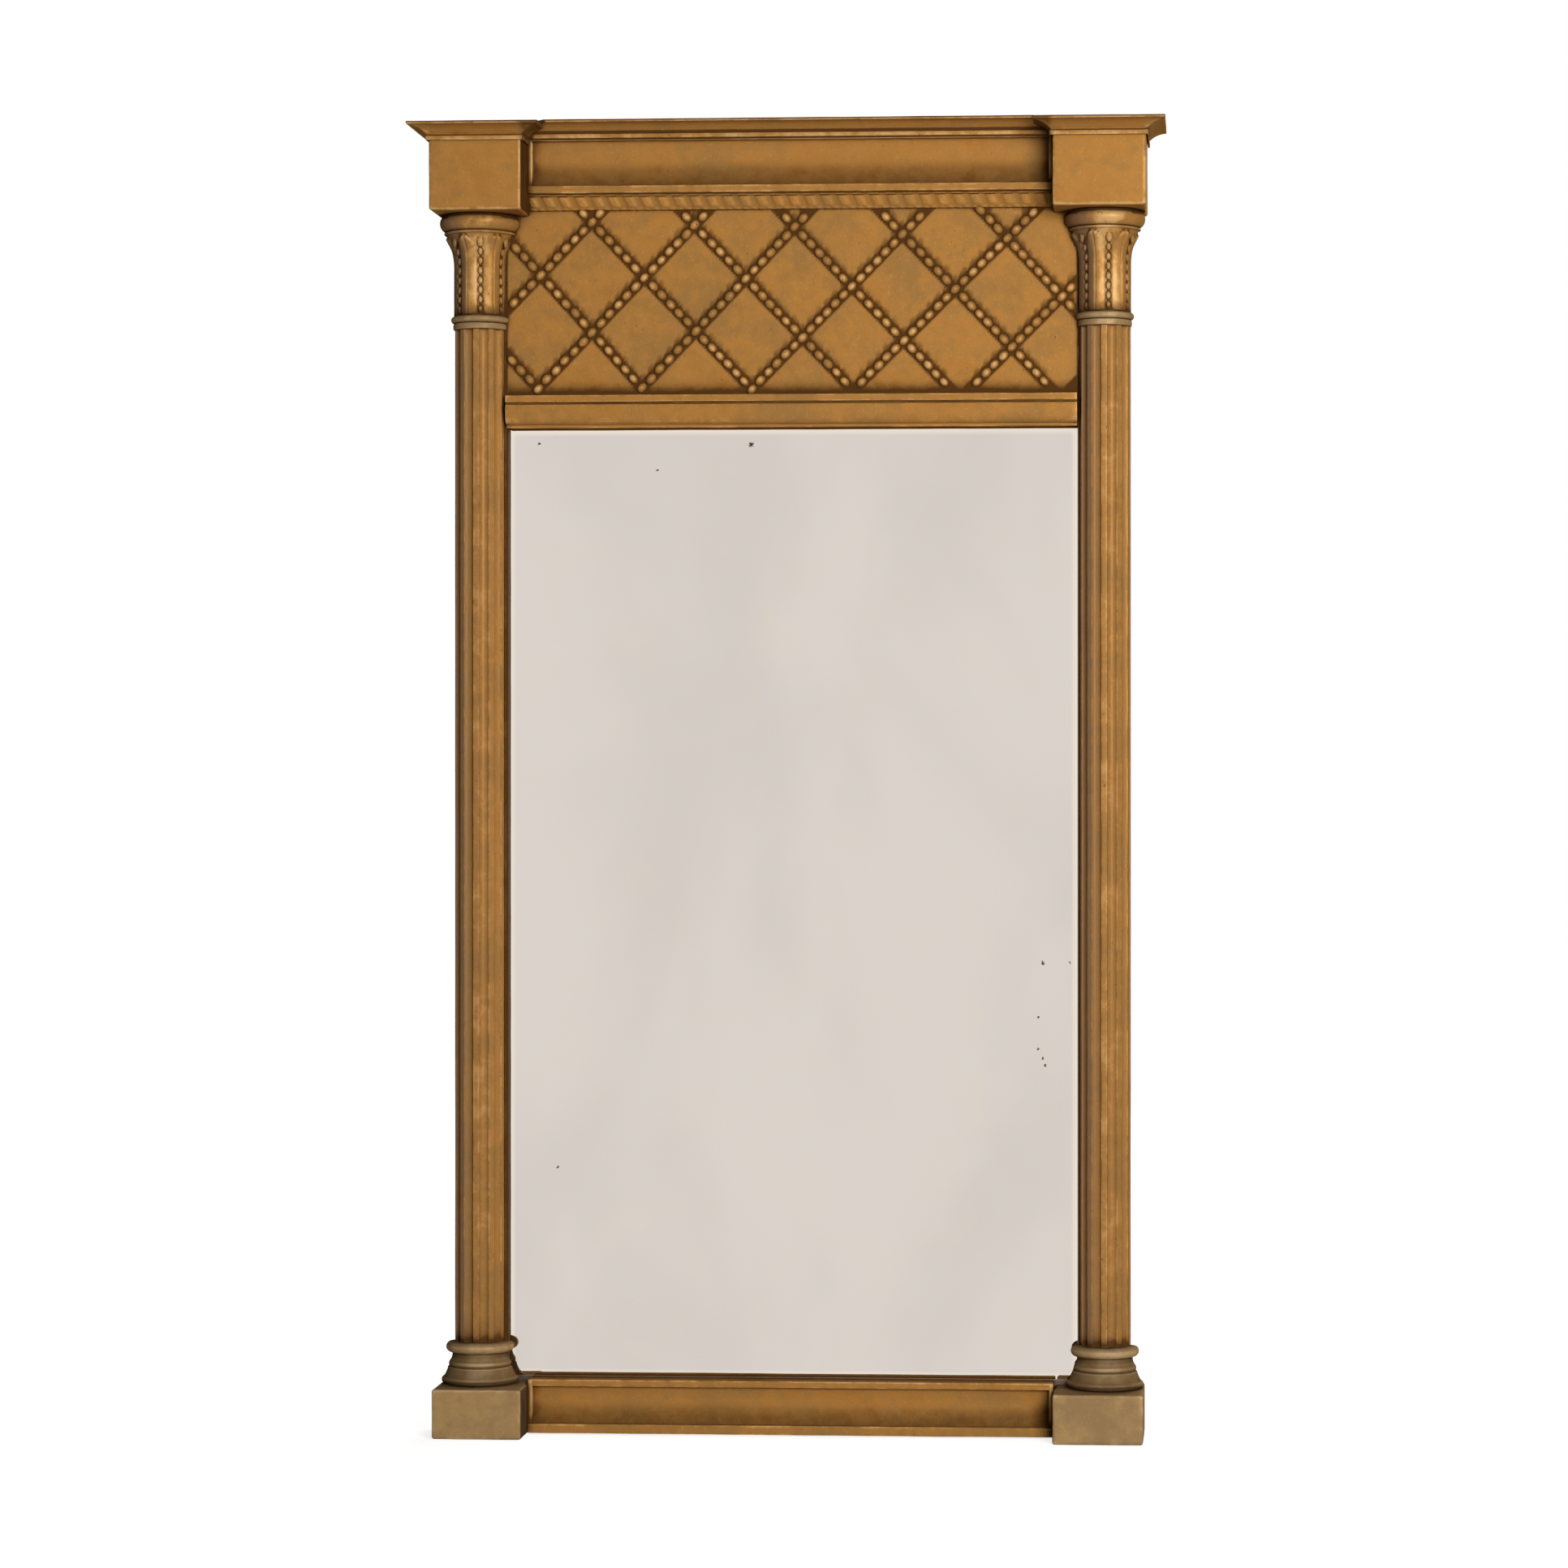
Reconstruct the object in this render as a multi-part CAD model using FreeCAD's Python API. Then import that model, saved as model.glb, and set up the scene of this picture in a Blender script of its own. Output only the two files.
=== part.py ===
"""Giltwood pier mirror: a pine carcass with a mirror plate, gilt columns, a trellis frieze and a cornice.

Millimetres. +X is to the viewer's right, +Y goes into the wall and +Z is up. The wall plane is y = 0.
Pieces are drawn with the feet at z = 0. They are saved with the origin on the wall plane, at the middle of
the top rail's rear face.
"""

import FreeCAD, Part
import math
import os

Vector = FreeCAD.Vector
os.makedirs("parts", exist_ok=True)

# Carcass
carcass_height = 928.0
stile_inner_spacing = 414.0
stile_width = 34.0
stile_thickness = 22.0
rail_thickness = 15.0
top_rail_height = 48.0
mid_rail_height = 34.0
mid_rail_drop = 16.0
bottom_rail_height = 30.0
bottom_rail_lift = 2.0
tenon_length = 20.0
tenon_thickness = 6.0
tenon_shoulder = 6.0
tenon_front_shoulder = 2.0
joint_clearance = 0.1
peg_diameter = 6.0
peg_length = 18.0
peg_inset = 10.0
peg_clearance = 0.05
top_peg_spacing = 20.0
cut_overrun = 5.0

# Glass, its wedges and the boards behind it
glass_thickness = 4.0
glass_rebate_width = 7.0
glass_edge_play = 2.0
wedge_foot = 8.0
wedge_clearance = 0.4
wedge_length = 45.0
stile_wedge_count = 4
stile_wedge_margin = 60.0
rail_wedge_spacing = 210.0
board_thickness = 5.0
board_count = 3
board_gap = 1.0
board_edge_play = 0.5
board_rebate_width = 16.0
board_lap = 12.0
nail_head_diameter = 5.0
nail_head_thickness = 0.6
nail_shank_diameter = 1.8
nail_cover = 2.0
nail_clearance = 0.05
nail_edge_inset = 22.0

# Corner blocks and plinths
block_lap = 20.0
block_width = 66.0
block_depth = 65.0
block_height = 61.0
plinth_width = 64.0
plinth_depth = 65.0
plinth_height = 35.5
block_edge_radius = 2.0

# Columns
column_inset = 16.0
column_standoff = 24.0
shaft_diameter = 36.0
flute_count = 10
flute_depth = 2.4
flute_radius = 4.2
flute_stop = 3.0
base_height = 34.0
base_torus_diameter = 55.0
base_torus_height = 8.5
base_step_diameter = 43.0
base_step_height = 3.0
base_waist_diameter = 38.0
base_waist_height = 6.0
base_ring_diameter = 48.6
base_ring_height = 8.6
base_flare_middle_share = 0.25
necking_height = 10.0
necking_fillet_height = 4.4
necking_fillet_diameter = 38.6
necking_ring_diameter = 41.6
capital_height = 71.0
capital_neck_diameter = 36.0
capital_flare_height = 24.0
capital_flare_diameter = 51.0
capital_torus_height = 13.0
capital_torus_diameter = 57.4
capital_top_diameter = 53.0
capital_flare_middle_share = 0.25
capital_flare_drop_share = 0.33

# Frieze and cornice
panel_thickness = 10.0
frieze_height = 177.0
panel_side_play = 0.2
break_depth = 29.0
crown_height = 12.0
crown_projection = 13.5
crown_lip_height = 2.0
crown_fillet_height = 3.5
crown_fillet_projection = 2.5
crown_hollow_sagitta = 1.6
centre_crown_rise = 4.7
cove_height = 38.7
cove_projection = 12.0
cove_top_fillet_height = 1.4
cove_top_fillet_setback = 1.0
cove_bottom_fillet_height = 5.5
cove_hollow_start_setback = 1.5
cove_hollow_middle_setback = 6.5
cove_hollow_end_setback = 7.0
cove_hollow_middle_rise = 9.0
leaf_strip_height = 11.0
leaf_strip_projection = 8.0
leaf_strip_lip_height = 2.0
leaf_strip_foot_projection = 3.0
leaf_strip_bulge = 1.2

# Beaded trellis on the frieze, each strand straight from the panel's lower edge to the leaf strip
strand_radius = 3.4
strand_clearance = 0.4
rising_foot_shares = (-1.294, -0.914, -0.549, -0.157, 0.202, 0.608, 0.958)
rising_head_shares = (-0.661, -0.287, 0.073, 0.478, 0.864, 1.257, 1.607)
falling_foot_shares = (-0.869, -0.500, -0.118, 0.231, 0.574, 0.925, 1.257)
falling_head_shares = (-1.442, -1.083, -0.740, -0.391, -0.048, 0.301, 0.655)

# Rails and slips in front of the plate
slip_width = 3.0
slip_projection = 3.0
slip_clearance = 0.2
mid_moulding_projection = 18.5
mid_moulding_end_play = 0.2
mid_fillet_height = 5.0
mid_quirk_height = 1.5
mid_quirk_depth = 2.5
mid_band_height = 9.0
mid_band_setback = 0.5
mid_slope_height = 5.5
mid_slope_setback = 6.0
mid_foot_height = 2.0
bottom_moulding_height = 38.0
bottom_moulding_lift = 1.0
bottom_moulding_projection = 23.0
bottom_top_fillet_height = 5.0
bottom_top_fillet_setback = 2.0
bottom_foot_fillet_height = 7.0
bottom_hollow_start_setback = 2.0
bottom_hollow_middle_setback = 7.0
bottom_hollow_end_setback = 6.0
bottom_hollow_middle_rise = 10.0

# Hanging batten and its brass rings
batten_thickness = 6.0
batten_height = 52.0
batten_drop = 16.0
batten_end_play = 0.2
hanger_inset = 57.0
strap_length = 34.0
strap_thickness = 1.6
strap_top_inset = 14.0
ring_wire_diameter = 3.0
ring_inner_width = 14.0
ring_arm_length = 12.0
ring_side_play = 1.0
ring_bearing_clearance = 0.05
ring_strap_clearance = 0.4
screw_head_diameter = 6.4
screw_shank_diameter = 3.0
screw_length = 5.4
screw_clearance = 0.05
upper_screw_drop = 11.0
lower_screw_margin = 6.0

# Places worked out from the sizes
stile_inner = stile_inner_spacing / 2
stile_outer = stile_inner + stile_width
block_inner = stile_inner - block_lap
block_outer = block_inner + block_width
plinth_outer = block_inner + plinth_width
column_x = stile_inner + column_inset
block_underside = carcass_height - block_height
top_rail_top = carcass_height - crown_height
top_rail_underside = top_rail_top - top_rail_height
bottom_rail_top = bottom_rail_lift + bottom_rail_height
hanging_line = top_rail_top - top_rail_height / 2
panel_underside = top_rail_top - frieze_height
mid_rail_underside = panel_underside - mid_rail_drop
tenon_setback = rail_thickness - tenon_thickness - tenon_front_shoulder
nail_length = rail_thickness - nail_cover
slip_inner = stile_inner - slip_width
slip_front = stile_thickness + slip_projection
panel_front = rail_thickness + panel_thickness
cornice_front = block_depth - break_depth
cove_top = top_rail_top + centre_crown_rise
cove_underside = cove_top - cove_height
leaf_strip_underside = cove_underside - leaf_strip_height
shaft_underside = plinth_height + base_height
capital_underside = block_underside - capital_height
necking_underside = capital_underside - necking_height
bottom_moulding_top = bottom_moulding_lift + bottom_moulding_height
board_rebate_depth = board_thickness + nail_head_thickness
glass_back = rail_thickness - glass_thickness
wedge_rise = glass_back - board_rebate_depth - wedge_clearance
glass_half_width = stile_inner + glass_rebate_width - glass_edge_play
glass_top = mid_rail_underside - glass_edge_play


def span_box(x_from, x_to, y_from, y_to, z_from, z_to):
    """A box between two corners."""
    corner = Vector(x_from, y_from, z_from)
    return Part.makeBox(x_to - x_from, y_to - y_from, z_to - z_from, corner)


def outline_face(start, *steps):
    """A flat face. A step is the next corner, or a pair: a point that an arc passes and the arc's end."""
    edges = []
    here = start
    for step in steps + (start,):
        if isinstance(step, tuple):
            through, there = step
            edges.append(Part.Arc(here, through, there).toShape())
        else:
            there = step
            edges.append(Part.LineSegment(here, there).toShape())
        here = there
    return Part.Face(Part.Wire(edges))


def mirrored(shape):
    """The same piece for the other side of the mirror."""
    return shape.mirror(Vector(0, 0, 0), Vector(1, 0, 0))


def save(name, *solids):
    """Writes one node, moved so that the hanging line is at height zero."""
    shape = Part.makeCompound(list(solids)) if len(solids) > 1 else solids[0]
    shape.translate(Vector(0, 0, -hanging_line))
    shape.exportStep("parts/" + name + ".step")


def save_pair(name, right_solid):
    """Writes a right-hand piece and its mirror image."""
    save(name + "_left", mirrored(right_solid))
    save(name + "_right", right_solid)


def depth_pin(diameter, x, z, y_front, y_back):
    """A round bar along Y."""
    return Part.makeCylinder(diameter / 2, y_back - y_front, Vector(x, y_front, z), Vector(0, 1, 0))


# Carcass rails with their tenons
def tenon_box(underside, height, play):
    """The right-hand tenon of a rail, or its mortise when there is play around it."""
    return span_box(
        stile_inner - play,
        stile_inner + tenon_length + play,
        -tenon_setback - tenon_thickness - play,
        -tenon_setback + play,
        underside + tenon_shoulder - play,
        underside + height - tenon_shoulder + play,
    )


rails = {
    "top": (top_rail_underside, top_rail_height),
    "mid": (mid_rail_underside, mid_rail_height),
    "bottom": (bottom_rail_lift, bottom_rail_height),
}
board_top = mid_rail_underside + board_lap
board_underside = bottom_rail_top - board_lap


def rail_centre(name):
    """The height of the middle of a rail."""
    underside, height = rails[name]
    return underside + height / 2


peg_x = stile_inner + peg_inset
peg_heights = (
    rail_centre("top") - top_peg_spacing / 2,
    rail_centre("top") + top_peg_spacing / 2,
    (board_top + mid_rail_underside + mid_rail_height) / 2,
    (bottom_rail_lift + board_underside) / 2,
)


def peg_bar(height, diameter):
    """A peg of the right-hand stile, driven in from the back."""
    return depth_pin(diameter, peg_x, height, -peg_length, 0)


peg_holes = [peg_bar(height, peg_diameter + 2 * peg_clearance) for height in peg_heights]

# Boards behind the glass, side by side between the stiles' rebates
board_half_span = stile_inner + board_rebate_width - board_edge_play
board_width = (2 * board_half_span - (board_count - 1) * board_gap) / board_count
board_low = board_underside + board_edge_play
board_high = board_top - board_edge_play
nail_heights = (board_underside + board_lap / 2, board_top - board_lap / 2)


def board_start(number):
    """The left edge of one board."""
    return -board_half_span + number * (board_width + board_gap)


nail_places = []
for board_number in range(board_count):
    for edge in (nail_edge_inset, board_width - nail_edge_inset):
        for nail_height in nail_heights:
            nail_places.append((board_start(board_number) + edge, nail_height))


def nail(x, z, play):
    """A nail with its flat head in the wall plane, or its hole when there is play around the shank."""
    head = depth_pin(nail_head_diameter, x, z, -nail_head_thickness, 0)
    shank = depth_pin(nail_shank_diameter + 2 * play, x, z, -nail_length - play, 0)
    return head.fuse(shank).removeSplitter()


nail_holes = [nail(x, z, nail_clearance) for x, z in nail_places]
board_rebate = span_box(
    -stile_inner - board_rebate_width,
    stile_inner + board_rebate_width,
    -board_rebate_depth,
    cut_overrun,
    board_underside,
    board_top,
)


def rail(name):
    """A rail between the stiles, with a tenon at each end."""
    underside, height = rails[name]
    body = span_box(-stile_inner, stile_inner, -rail_thickness, 0, underside, underside + height)
    tenon = tenon_box(underside, height, 0)
    body = body.fuse([tenon, mirrored(tenon)]).removeSplitter()
    holes = peg_holes + [mirrored(hole) for hole in peg_holes] + nail_holes
    return body.cut(board_rebate).cut(holes)


def stile():
    """The right-hand stile, with its mortises and its rebates for the plate and the boards."""
    body = span_box(stile_inner, stile_outer, -stile_thickness, 0, 0, carcass_height)
    glass_rebate = span_box(
        stile_inner - cut_overrun,
        stile_inner + glass_rebate_width,
        -rail_thickness,
        cut_overrun,
        bottom_rail_top,
        mid_rail_underside,
    )
    mortises = [tenon_box(*rails[name], joint_clearance) for name in rails]
    return body.cut([glass_rebate, board_rebate] + mortises + peg_holes + nail_holes)


save_pair("carcass_stile", stile())
for rail_name in rails:
    save("carcass_" + rail_name + "_rail", rail(rail_name))
pegs = [peg_bar(height, peg_diameter) for height in peg_heights]
save("carcass_pegs", *pegs, *[mirrored(peg) for peg in pegs])

# Backboards and nails
for board_number in range(board_count):
    left_edge = board_start(board_number)
    board = span_box(
        left_edge,
        left_edge + board_width,
        -board_rebate_depth,
        -nail_head_thickness,
        board_low,
        board_high,
    )
    save("backboard_" + str(board_number + 1), board.cut(nail_holes))
save("backboard_nails", *[nail(x, z, 0) for x, z in nail_places])

# Mirror plate and the wedges that hold it
plate = span_box(
    -glass_half_width, glass_half_width, -rail_thickness, -glass_back, bottom_rail_top, glass_top
)
save("mirror_plate", plate)

wedge_corner = stile_inner + glass_rebate_width
wedge_reach = glass_top - bottom_rail_top - 2 * stile_wedge_margin
side_wedges = []
for number in range(stile_wedge_count):
    middle = bottom_rail_top + stile_wedge_margin + wedge_reach * number / (stile_wedge_count - 1)
    low = middle - wedge_length / 2
    section = outline_face(
        Vector(wedge_corner, -glass_back, low),
        Vector(wedge_corner - wedge_foot, -glass_back, low),
        Vector(wedge_corner, wedge_rise - glass_back, low),
    )
    wedge = section.extrude(Vector(0, 0, wedge_length))
    side_wedges += [wedge, mirrored(wedge)]
rail_wedges = []
for seat, foot in ((bottom_rail_top, wedge_foot), (mid_rail_underside, -wedge_foot)):
    start = rail_wedge_spacing / 2 - wedge_length / 2
    section = outline_face(
        Vector(start, -glass_back, seat),
        Vector(start, -glass_back, seat + foot),
        Vector(start, wedge_rise - glass_back, seat),
    )
    wedge = section.extrude(Vector(wedge_length, 0, 0))
    rail_wedges += [wedge, mirrored(wedge)]
save("glass_wedges", *side_wedges, *rail_wedges)


# Corner blocks and plinths, cut out behind to sit over the stiles and rails
def eased_block(x_to, depth, z_from, z_to):
    """A block from the inner face outwards whose edges are softened, except at the wall."""
    body = span_box(block_inner, x_to, -depth, 0, z_from, z_to)
    wall_edges = [edge for edge in body.Edges if edge.BoundBox.YMin > -block_edge_radius]
    soft_edges = [edge for edge in body.Edges if not any(edge.isSame(wall) for wall in wall_edges)]
    return body.makeFillet(block_edge_radius, soft_edges)


stile_slot = span_box(
    stile_inner, stile_outer, -stile_thickness, cut_overrun, -cut_overrun, carcass_height + cut_overrun
)
panel_slot = span_box(
    block_inner - cut_overrun, stile_inner, -panel_front, cut_overrun, 0, top_rail_top
)
slip_slot = span_box(slip_inner, stile_inner, -slip_front, cut_overrun, 0, top_rail_top)
rail_slot = span_box(
    block_inner - cut_overrun,
    stile_inner,
    -rail_thickness,
    cut_overrun,
    -cut_overrun,
    plinth_height + cut_overrun,
)
corner_block = eased_block(block_outer, block_depth, block_underside, carcass_height)
save_pair("corner_block", corner_block.cut([stile_slot, panel_slot, slip_slot]))
plinth = eased_block(plinth_outer, plinth_depth, 0, plinth_height)
save_pair("plinth_block", plinth.cut([stile_slot, rail_slot]))

# Turned pieces of the right-hand column
column_foot = Vector(column_x, -column_standoff, 0)


def column_point(radius, height):
    """A point of a turned outline, to the right of the column's axis."""
    return column_foot + Vector(radius, 0, height)


def turned(*outline):
    """A turned piece. The outline starts on the axis and ends on it."""
    return outline_face(*outline).revolve(column_foot, Vector(0, 0, 1), 360)


behind_stile_face = span_box(
    block_inner - cut_overrun, block_outer + cut_overrun, -stile_thickness, cut_overrun, 0, carcass_height
)
behind_panel_face = span_box(
    block_inner - cut_overrun, stile_inner, -panel_front, cut_overrun, 0, carcass_height
)
slip_bed = span_box(
    slip_inner - slip_clearance,
    stile_inner,
    -slip_front - slip_clearance,
    cut_overrun,
    0,
    carcass_height,
)


def set_on_stile(piece):
    """Flattens a turned piece behind, where it is glued to the stile and clears the slip."""
    return piece.cut([behind_stile_face, slip_bed])


def shaft():
    """The fluted shaft. A fillet faces the front, and the flutes stop short of both ends."""
    length = necking_underside - shaft_underside
    radius = shaft_diameter / 2
    body = Part.makeCylinder(radius, length, column_point(0, shaft_underside), Vector(0, 0, 1))
    flutes = []
    for number in range(flute_count):
        angle = math.radians((number + 1 / 2) * 360 / flute_count)
        reach = radius - flute_depth + flute_radius
        offset = Vector(reach * math.sin(angle), -reach * math.cos(angle), 0)
        low = column_point(0, shaft_underside + flute_stop + flute_radius) + offset
        high = column_point(0, necking_underside - flute_stop - flute_radius) + offset
        groove = Part.makeCylinder(flute_radius, high.z - low.z, low, Vector(0, 0, 1))
        ends = [Part.makeSphere(flute_radius, low), Part.makeSphere(flute_radius, high)]
        flutes.append(groove.fuse(ends))
    return set_on_stile(body.cut(flutes))


def base():
    """The turned base: torus, hollow flare, step, waist and top ring."""
    torus_middle = plinth_height + base_torus_height / 2
    torus_top = plinth_height + base_torus_height
    ring_low = shaft_underside - base_ring_height
    waist_low = ring_low - base_waist_height
    step_low = waist_low - base_step_height
    torus_edge = (base_torus_diameter - base_torus_height) / 2
    step_edge = base_step_diameter / 2
    flare_middle = column_point(
        step_edge + (torus_edge - step_edge) * base_flare_middle_share, (torus_top + step_low) / 2
    )
    ring_edge = (base_ring_diameter - base_ring_height) / 2
    return turned(
        column_point(0, plinth_height),
        column_point(torus_edge, plinth_height),
        (column_point(base_torus_diameter / 2, torus_middle), column_point(torus_edge, torus_top)),
        (flare_middle, column_point(step_edge, step_low)),
        column_point(step_edge, waist_low),
        column_point(base_waist_diameter / 2, waist_low),
        column_point(base_waist_diameter / 2, ring_low),
        column_point(ring_edge, ring_low),
        (
            column_point(base_ring_diameter / 2, shaft_underside - base_ring_height / 2),
            column_point(ring_edge, shaft_underside),
        ),
        column_point(0, shaft_underside),
    )


def necking_ring():
    """The fillet and astragal between the shaft and the capital."""
    fillet_top = necking_underside + necking_fillet_height
    ring_height = necking_height - necking_fillet_height
    ring_edge = (necking_ring_diameter - ring_height) / 2
    return turned(
        column_point(0, necking_underside),
        column_point(necking_fillet_diameter / 2, necking_underside),
        column_point(necking_fillet_diameter / 2, fillet_top),
        column_point(ring_edge, fillet_top),
        (
            column_point(necking_ring_diameter / 2, fillet_top + ring_height / 2),
            column_point(ring_edge, capital_underside),
        ),
        column_point(0, capital_underside),
    )


def capital():
    """The bell of the capital under its torus."""
    torus_low = block_underside - capital_torus_height
    flare_low = torus_low - capital_flare_height
    neck = capital_neck_diameter / 2
    flare = capital_flare_diameter / 2
    flare_middle = column_point(
        neck + (flare - neck) * capital_flare_middle_share,
        torus_low - capital_flare_height * capital_flare_drop_share,
    )
    torus_side = column_point(capital_torus_diameter / 2, block_underside - capital_torus_height / 2)
    return turned(
        column_point(0, capital_underside),
        column_point(neck, capital_underside),
        column_point(neck, flare_low),
        (flare_middle, column_point(flare, torus_low)),
        (torus_side, column_point(capital_top_diameter / 2, block_underside)),
        column_point(0, block_underside),
    )


save_pair("column_shaft", shaft())
save_pair("column_base", set_on_stile(base()))
save_pair("necking_ring", set_on_stile(necking_ring()).cut(behind_panel_face))
save_pair("capital", set_on_stile(capital()).cut(behind_panel_face))

# Frieze panel and the slips beside the plate
panel_half_width = slip_inner - panel_side_play
panel = span_box(
    -panel_half_width, panel_half_width, -panel_front, -rail_thickness, panel_underside, top_rail_top
)
save("frieze_panel", panel)
slip = span_box(slip_inner, stile_inner, -slip_front, -rail_thickness, plinth_height, block_underside)
save_pair("sight_slip", slip)


# Trellis strands, half round on the panel
def strand(foot_share, head_share, radius):
    """A half-round strand whose ends run past the panel's lower edge and the leaf strip."""
    foot = Vector(foot_share * panel_half_width, -panel_front, panel_underside)
    head = Vector(head_share * panel_half_width, -panel_front, leaf_strip_underside)
    along = (head - foot).normalize() * cut_overrun
    low = foot - along
    return Part.makeCylinder(radius, (head + along - low).Length, low, head - foot)


strand_field = span_box(
    -panel_half_width,
    panel_half_width,
    -panel_front - strand_radius - cut_overrun,
    -panel_front,
    panel_underside,
    leaf_strip_underside,
)
capital_room = Part.makeCylinder(
    capital_torus_diameter / 2 + strand_clearance,
    block_underside - necking_underside,
    column_point(0, necking_underside),
    Vector(0, 0, 1),
)
shaft_room = Part.makeCylinder(
    shaft_diameter / 2 + strand_clearance,
    necking_underside - shaft_underside,
    column_point(0, shaft_underside),
    Vector(0, 0, 1),
)
column_rooms = [capital_room, shaft_room, mirrored(capital_room), mirrored(shaft_room)]
block_room = span_box(
    block_inner - strand_clearance,
    block_outer,
    -block_depth,
    0,
    block_underside - strand_clearance,
    carcass_height,
)
block_rooms = [block_room, mirrored(block_room)]


def strands(foot_shares, head_shares, crossed):
    """The strands of one direction, cut where they meet columns, blocks and the strands that they cross."""
    solids = []
    for foot_share, head_share in zip(foot_shares, head_shares):
        bar = strand(foot_share, head_share, strand_radius)
        solids += bar.common(strand_field).cut(column_rooms + block_rooms + crossed).Solids
    return solids


rising_rooms = [
    strand(foot, head, strand_radius + strand_clearance)
    for foot, head in zip(rising_foot_shares, rising_head_shares)
]
save("trellis_strands_rising", *strands(rising_foot_shares, rising_head_shares, []))
save("trellis_strands_falling", *strands(falling_foot_shares, falling_head_shares, rising_rooms))


# Mouldings that run across the mirror
def across(half_length, seat, *corners):
    """A moulding along X. A corner is a pair of projection and height, or an arc of two such pairs."""

    def place(corner):
        projection, height = corner
        return Vector(-half_length, -seat - projection, height)

    steps = []
    for corner in corners:
        if isinstance(corner[0], tuple):
            steps.append((place(corner[0]), place(corner[1])))
        else:
            steps.append(place(corner))
    return outline_face(*steps).extrude(Vector(2 * half_length, 0, 0))


cove_fillet_top = cove_underside + cove_bottom_fillet_height
cove_hollow_top = cove_top - cove_top_fillet_height
cove_top_front = cove_projection - cove_top_fillet_setback
cove = across(
    block_inner,
    panel_front,
    (0, cove_underside),
    (cove_projection, cove_underside),
    (cove_projection, cove_fillet_top),
    (cove_projection - cove_hollow_start_setback, cove_fillet_top),
    (
        (cove_projection - cove_hollow_middle_setback, cove_fillet_top + cove_hollow_middle_rise),
        (cove_projection - cove_hollow_end_setback, cove_hollow_top),
    ),
    (cove_top_front, cove_hollow_top),
    (cove_top_front, cove_top),
    (0, cove_top),
)
save("cove_moulding", cove)

leaf_lip_low = cove_underside - leaf_strip_lip_height
leaf_strip = across(
    block_inner,
    panel_front,
    (0, leaf_strip_underside),
    (leaf_strip_foot_projection, leaf_strip_underside),
    (
        (
            (leaf_strip_foot_projection + leaf_strip_projection) / 2 + leaf_strip_bulge,
            (leaf_strip_underside + leaf_lip_low) / 2 - leaf_strip_bulge,
        ),
        (leaf_strip_projection, leaf_lip_low),
    ),
    (leaf_strip_projection, cove_underside),
    (0, cove_underside),
)
save("leaf_tip_moulding", leaf_strip)

mid_top = panel_underside
mid_fillet_low = mid_top - mid_fillet_height
mid_quirk_low = mid_fillet_low - mid_quirk_height
mid_band_low = mid_quirk_low - mid_band_height
mid_band_front = mid_moulding_projection - mid_band_setback
mid_slope_low = mid_band_low - mid_slope_height
mid_underside = mid_slope_low - mid_foot_height
mid_slope_front = mid_moulding_projection - mid_slope_setback
mid_moulding = across(
    slip_inner - mid_moulding_end_play,
    rail_thickness,
    (0, mid_underside),
    (mid_slope_front, mid_underside),
    (mid_slope_front, mid_slope_low),
    (mid_band_front, mid_band_low),
    (mid_band_front, mid_quirk_low),
    (mid_moulding_projection - mid_quirk_depth, mid_quirk_low),
    (mid_moulding_projection - mid_quirk_depth, mid_fillet_low),
    (mid_moulding_projection, mid_fillet_low),
    (mid_moulding_projection, mid_top),
    (0, mid_top),
)
save("mid_rail_moulding", mid_moulding.cut(column_rooms))

foot_fillet_top = bottom_moulding_lift + bottom_foot_fillet_height
bottom_hollow_top = bottom_moulding_top - bottom_top_fillet_height
bottom_top_front = bottom_moulding_projection - bottom_top_fillet_setback
bottom_moulding = across(
    block_inner,
    rail_thickness,
    (0, bottom_moulding_lift),
    (bottom_moulding_projection, bottom_moulding_lift),
    (bottom_moulding_projection, foot_fillet_top),
    (bottom_moulding_projection - bottom_hollow_start_setback, foot_fillet_top),
    (
        (
            bottom_moulding_projection - bottom_hollow_middle_setback,
            foot_fillet_top + bottom_hollow_middle_rise,
        ),
        (bottom_moulding_projection - bottom_hollow_end_setback, bottom_hollow_top),
    ),
    (bottom_top_front, bottom_hollow_top),
    (bottom_top_front, bottom_moulding_top),
    (0, bottom_moulding_top),
)
save("bottom_rail_moulding", bottom_moulding)


# Crown moulding, mitred round the blocks and a little higher between them, and the board behind its centre
def crown_strip(length, start_mitre, end_mitre):
    """A crown strip along X that projects towards -Y. A mitre is 1 outside a corner, -1 inside it, or 0."""
    run_out = crown_projection + cut_overrun
    hollow_low = Vector(0, -crown_fillet_projection, crown_fillet_height)
    hollow_high = Vector(0, -crown_projection, crown_height - crown_lip_height)
    chord = hollow_high - hollow_low
    inward = Vector(0, chord.z, -chord.y).normalize() * crown_hollow_sagitta
    section = outline_face(
        Vector(0, 0, 0),
        Vector(0, -crown_fillet_projection, 0),
        hollow_low,
        ((hollow_low + hollow_high) / 2 + inward, hollow_high),
        Vector(0, -crown_projection, crown_height),
        Vector(0, 0, crown_height),
    )
    bar = section.extrude(Vector(length + 2 * run_out, 0, 0)).translated(Vector(-run_out, 0, 0))
    plan = outline_face(
        Vector(0, 0, 0),
        Vector(length, 0, 0),
        Vector(length + end_mitre * crown_projection, -crown_projection, 0),
        Vector(-start_mitre * crown_projection, -crown_projection, 0),
    )
    return bar.common(plan.extrude(Vector(0, 0, crown_height)))


def placed(strip, turn, x, y, z=top_rail_top):
    """A crown strip turned about Z and set with the start of its seat at a point."""
    strip.rotate(Vector(0, 0, 0), Vector(0, 0, 1), turn)
    return strip.translated(Vector(x, y, z))


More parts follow.
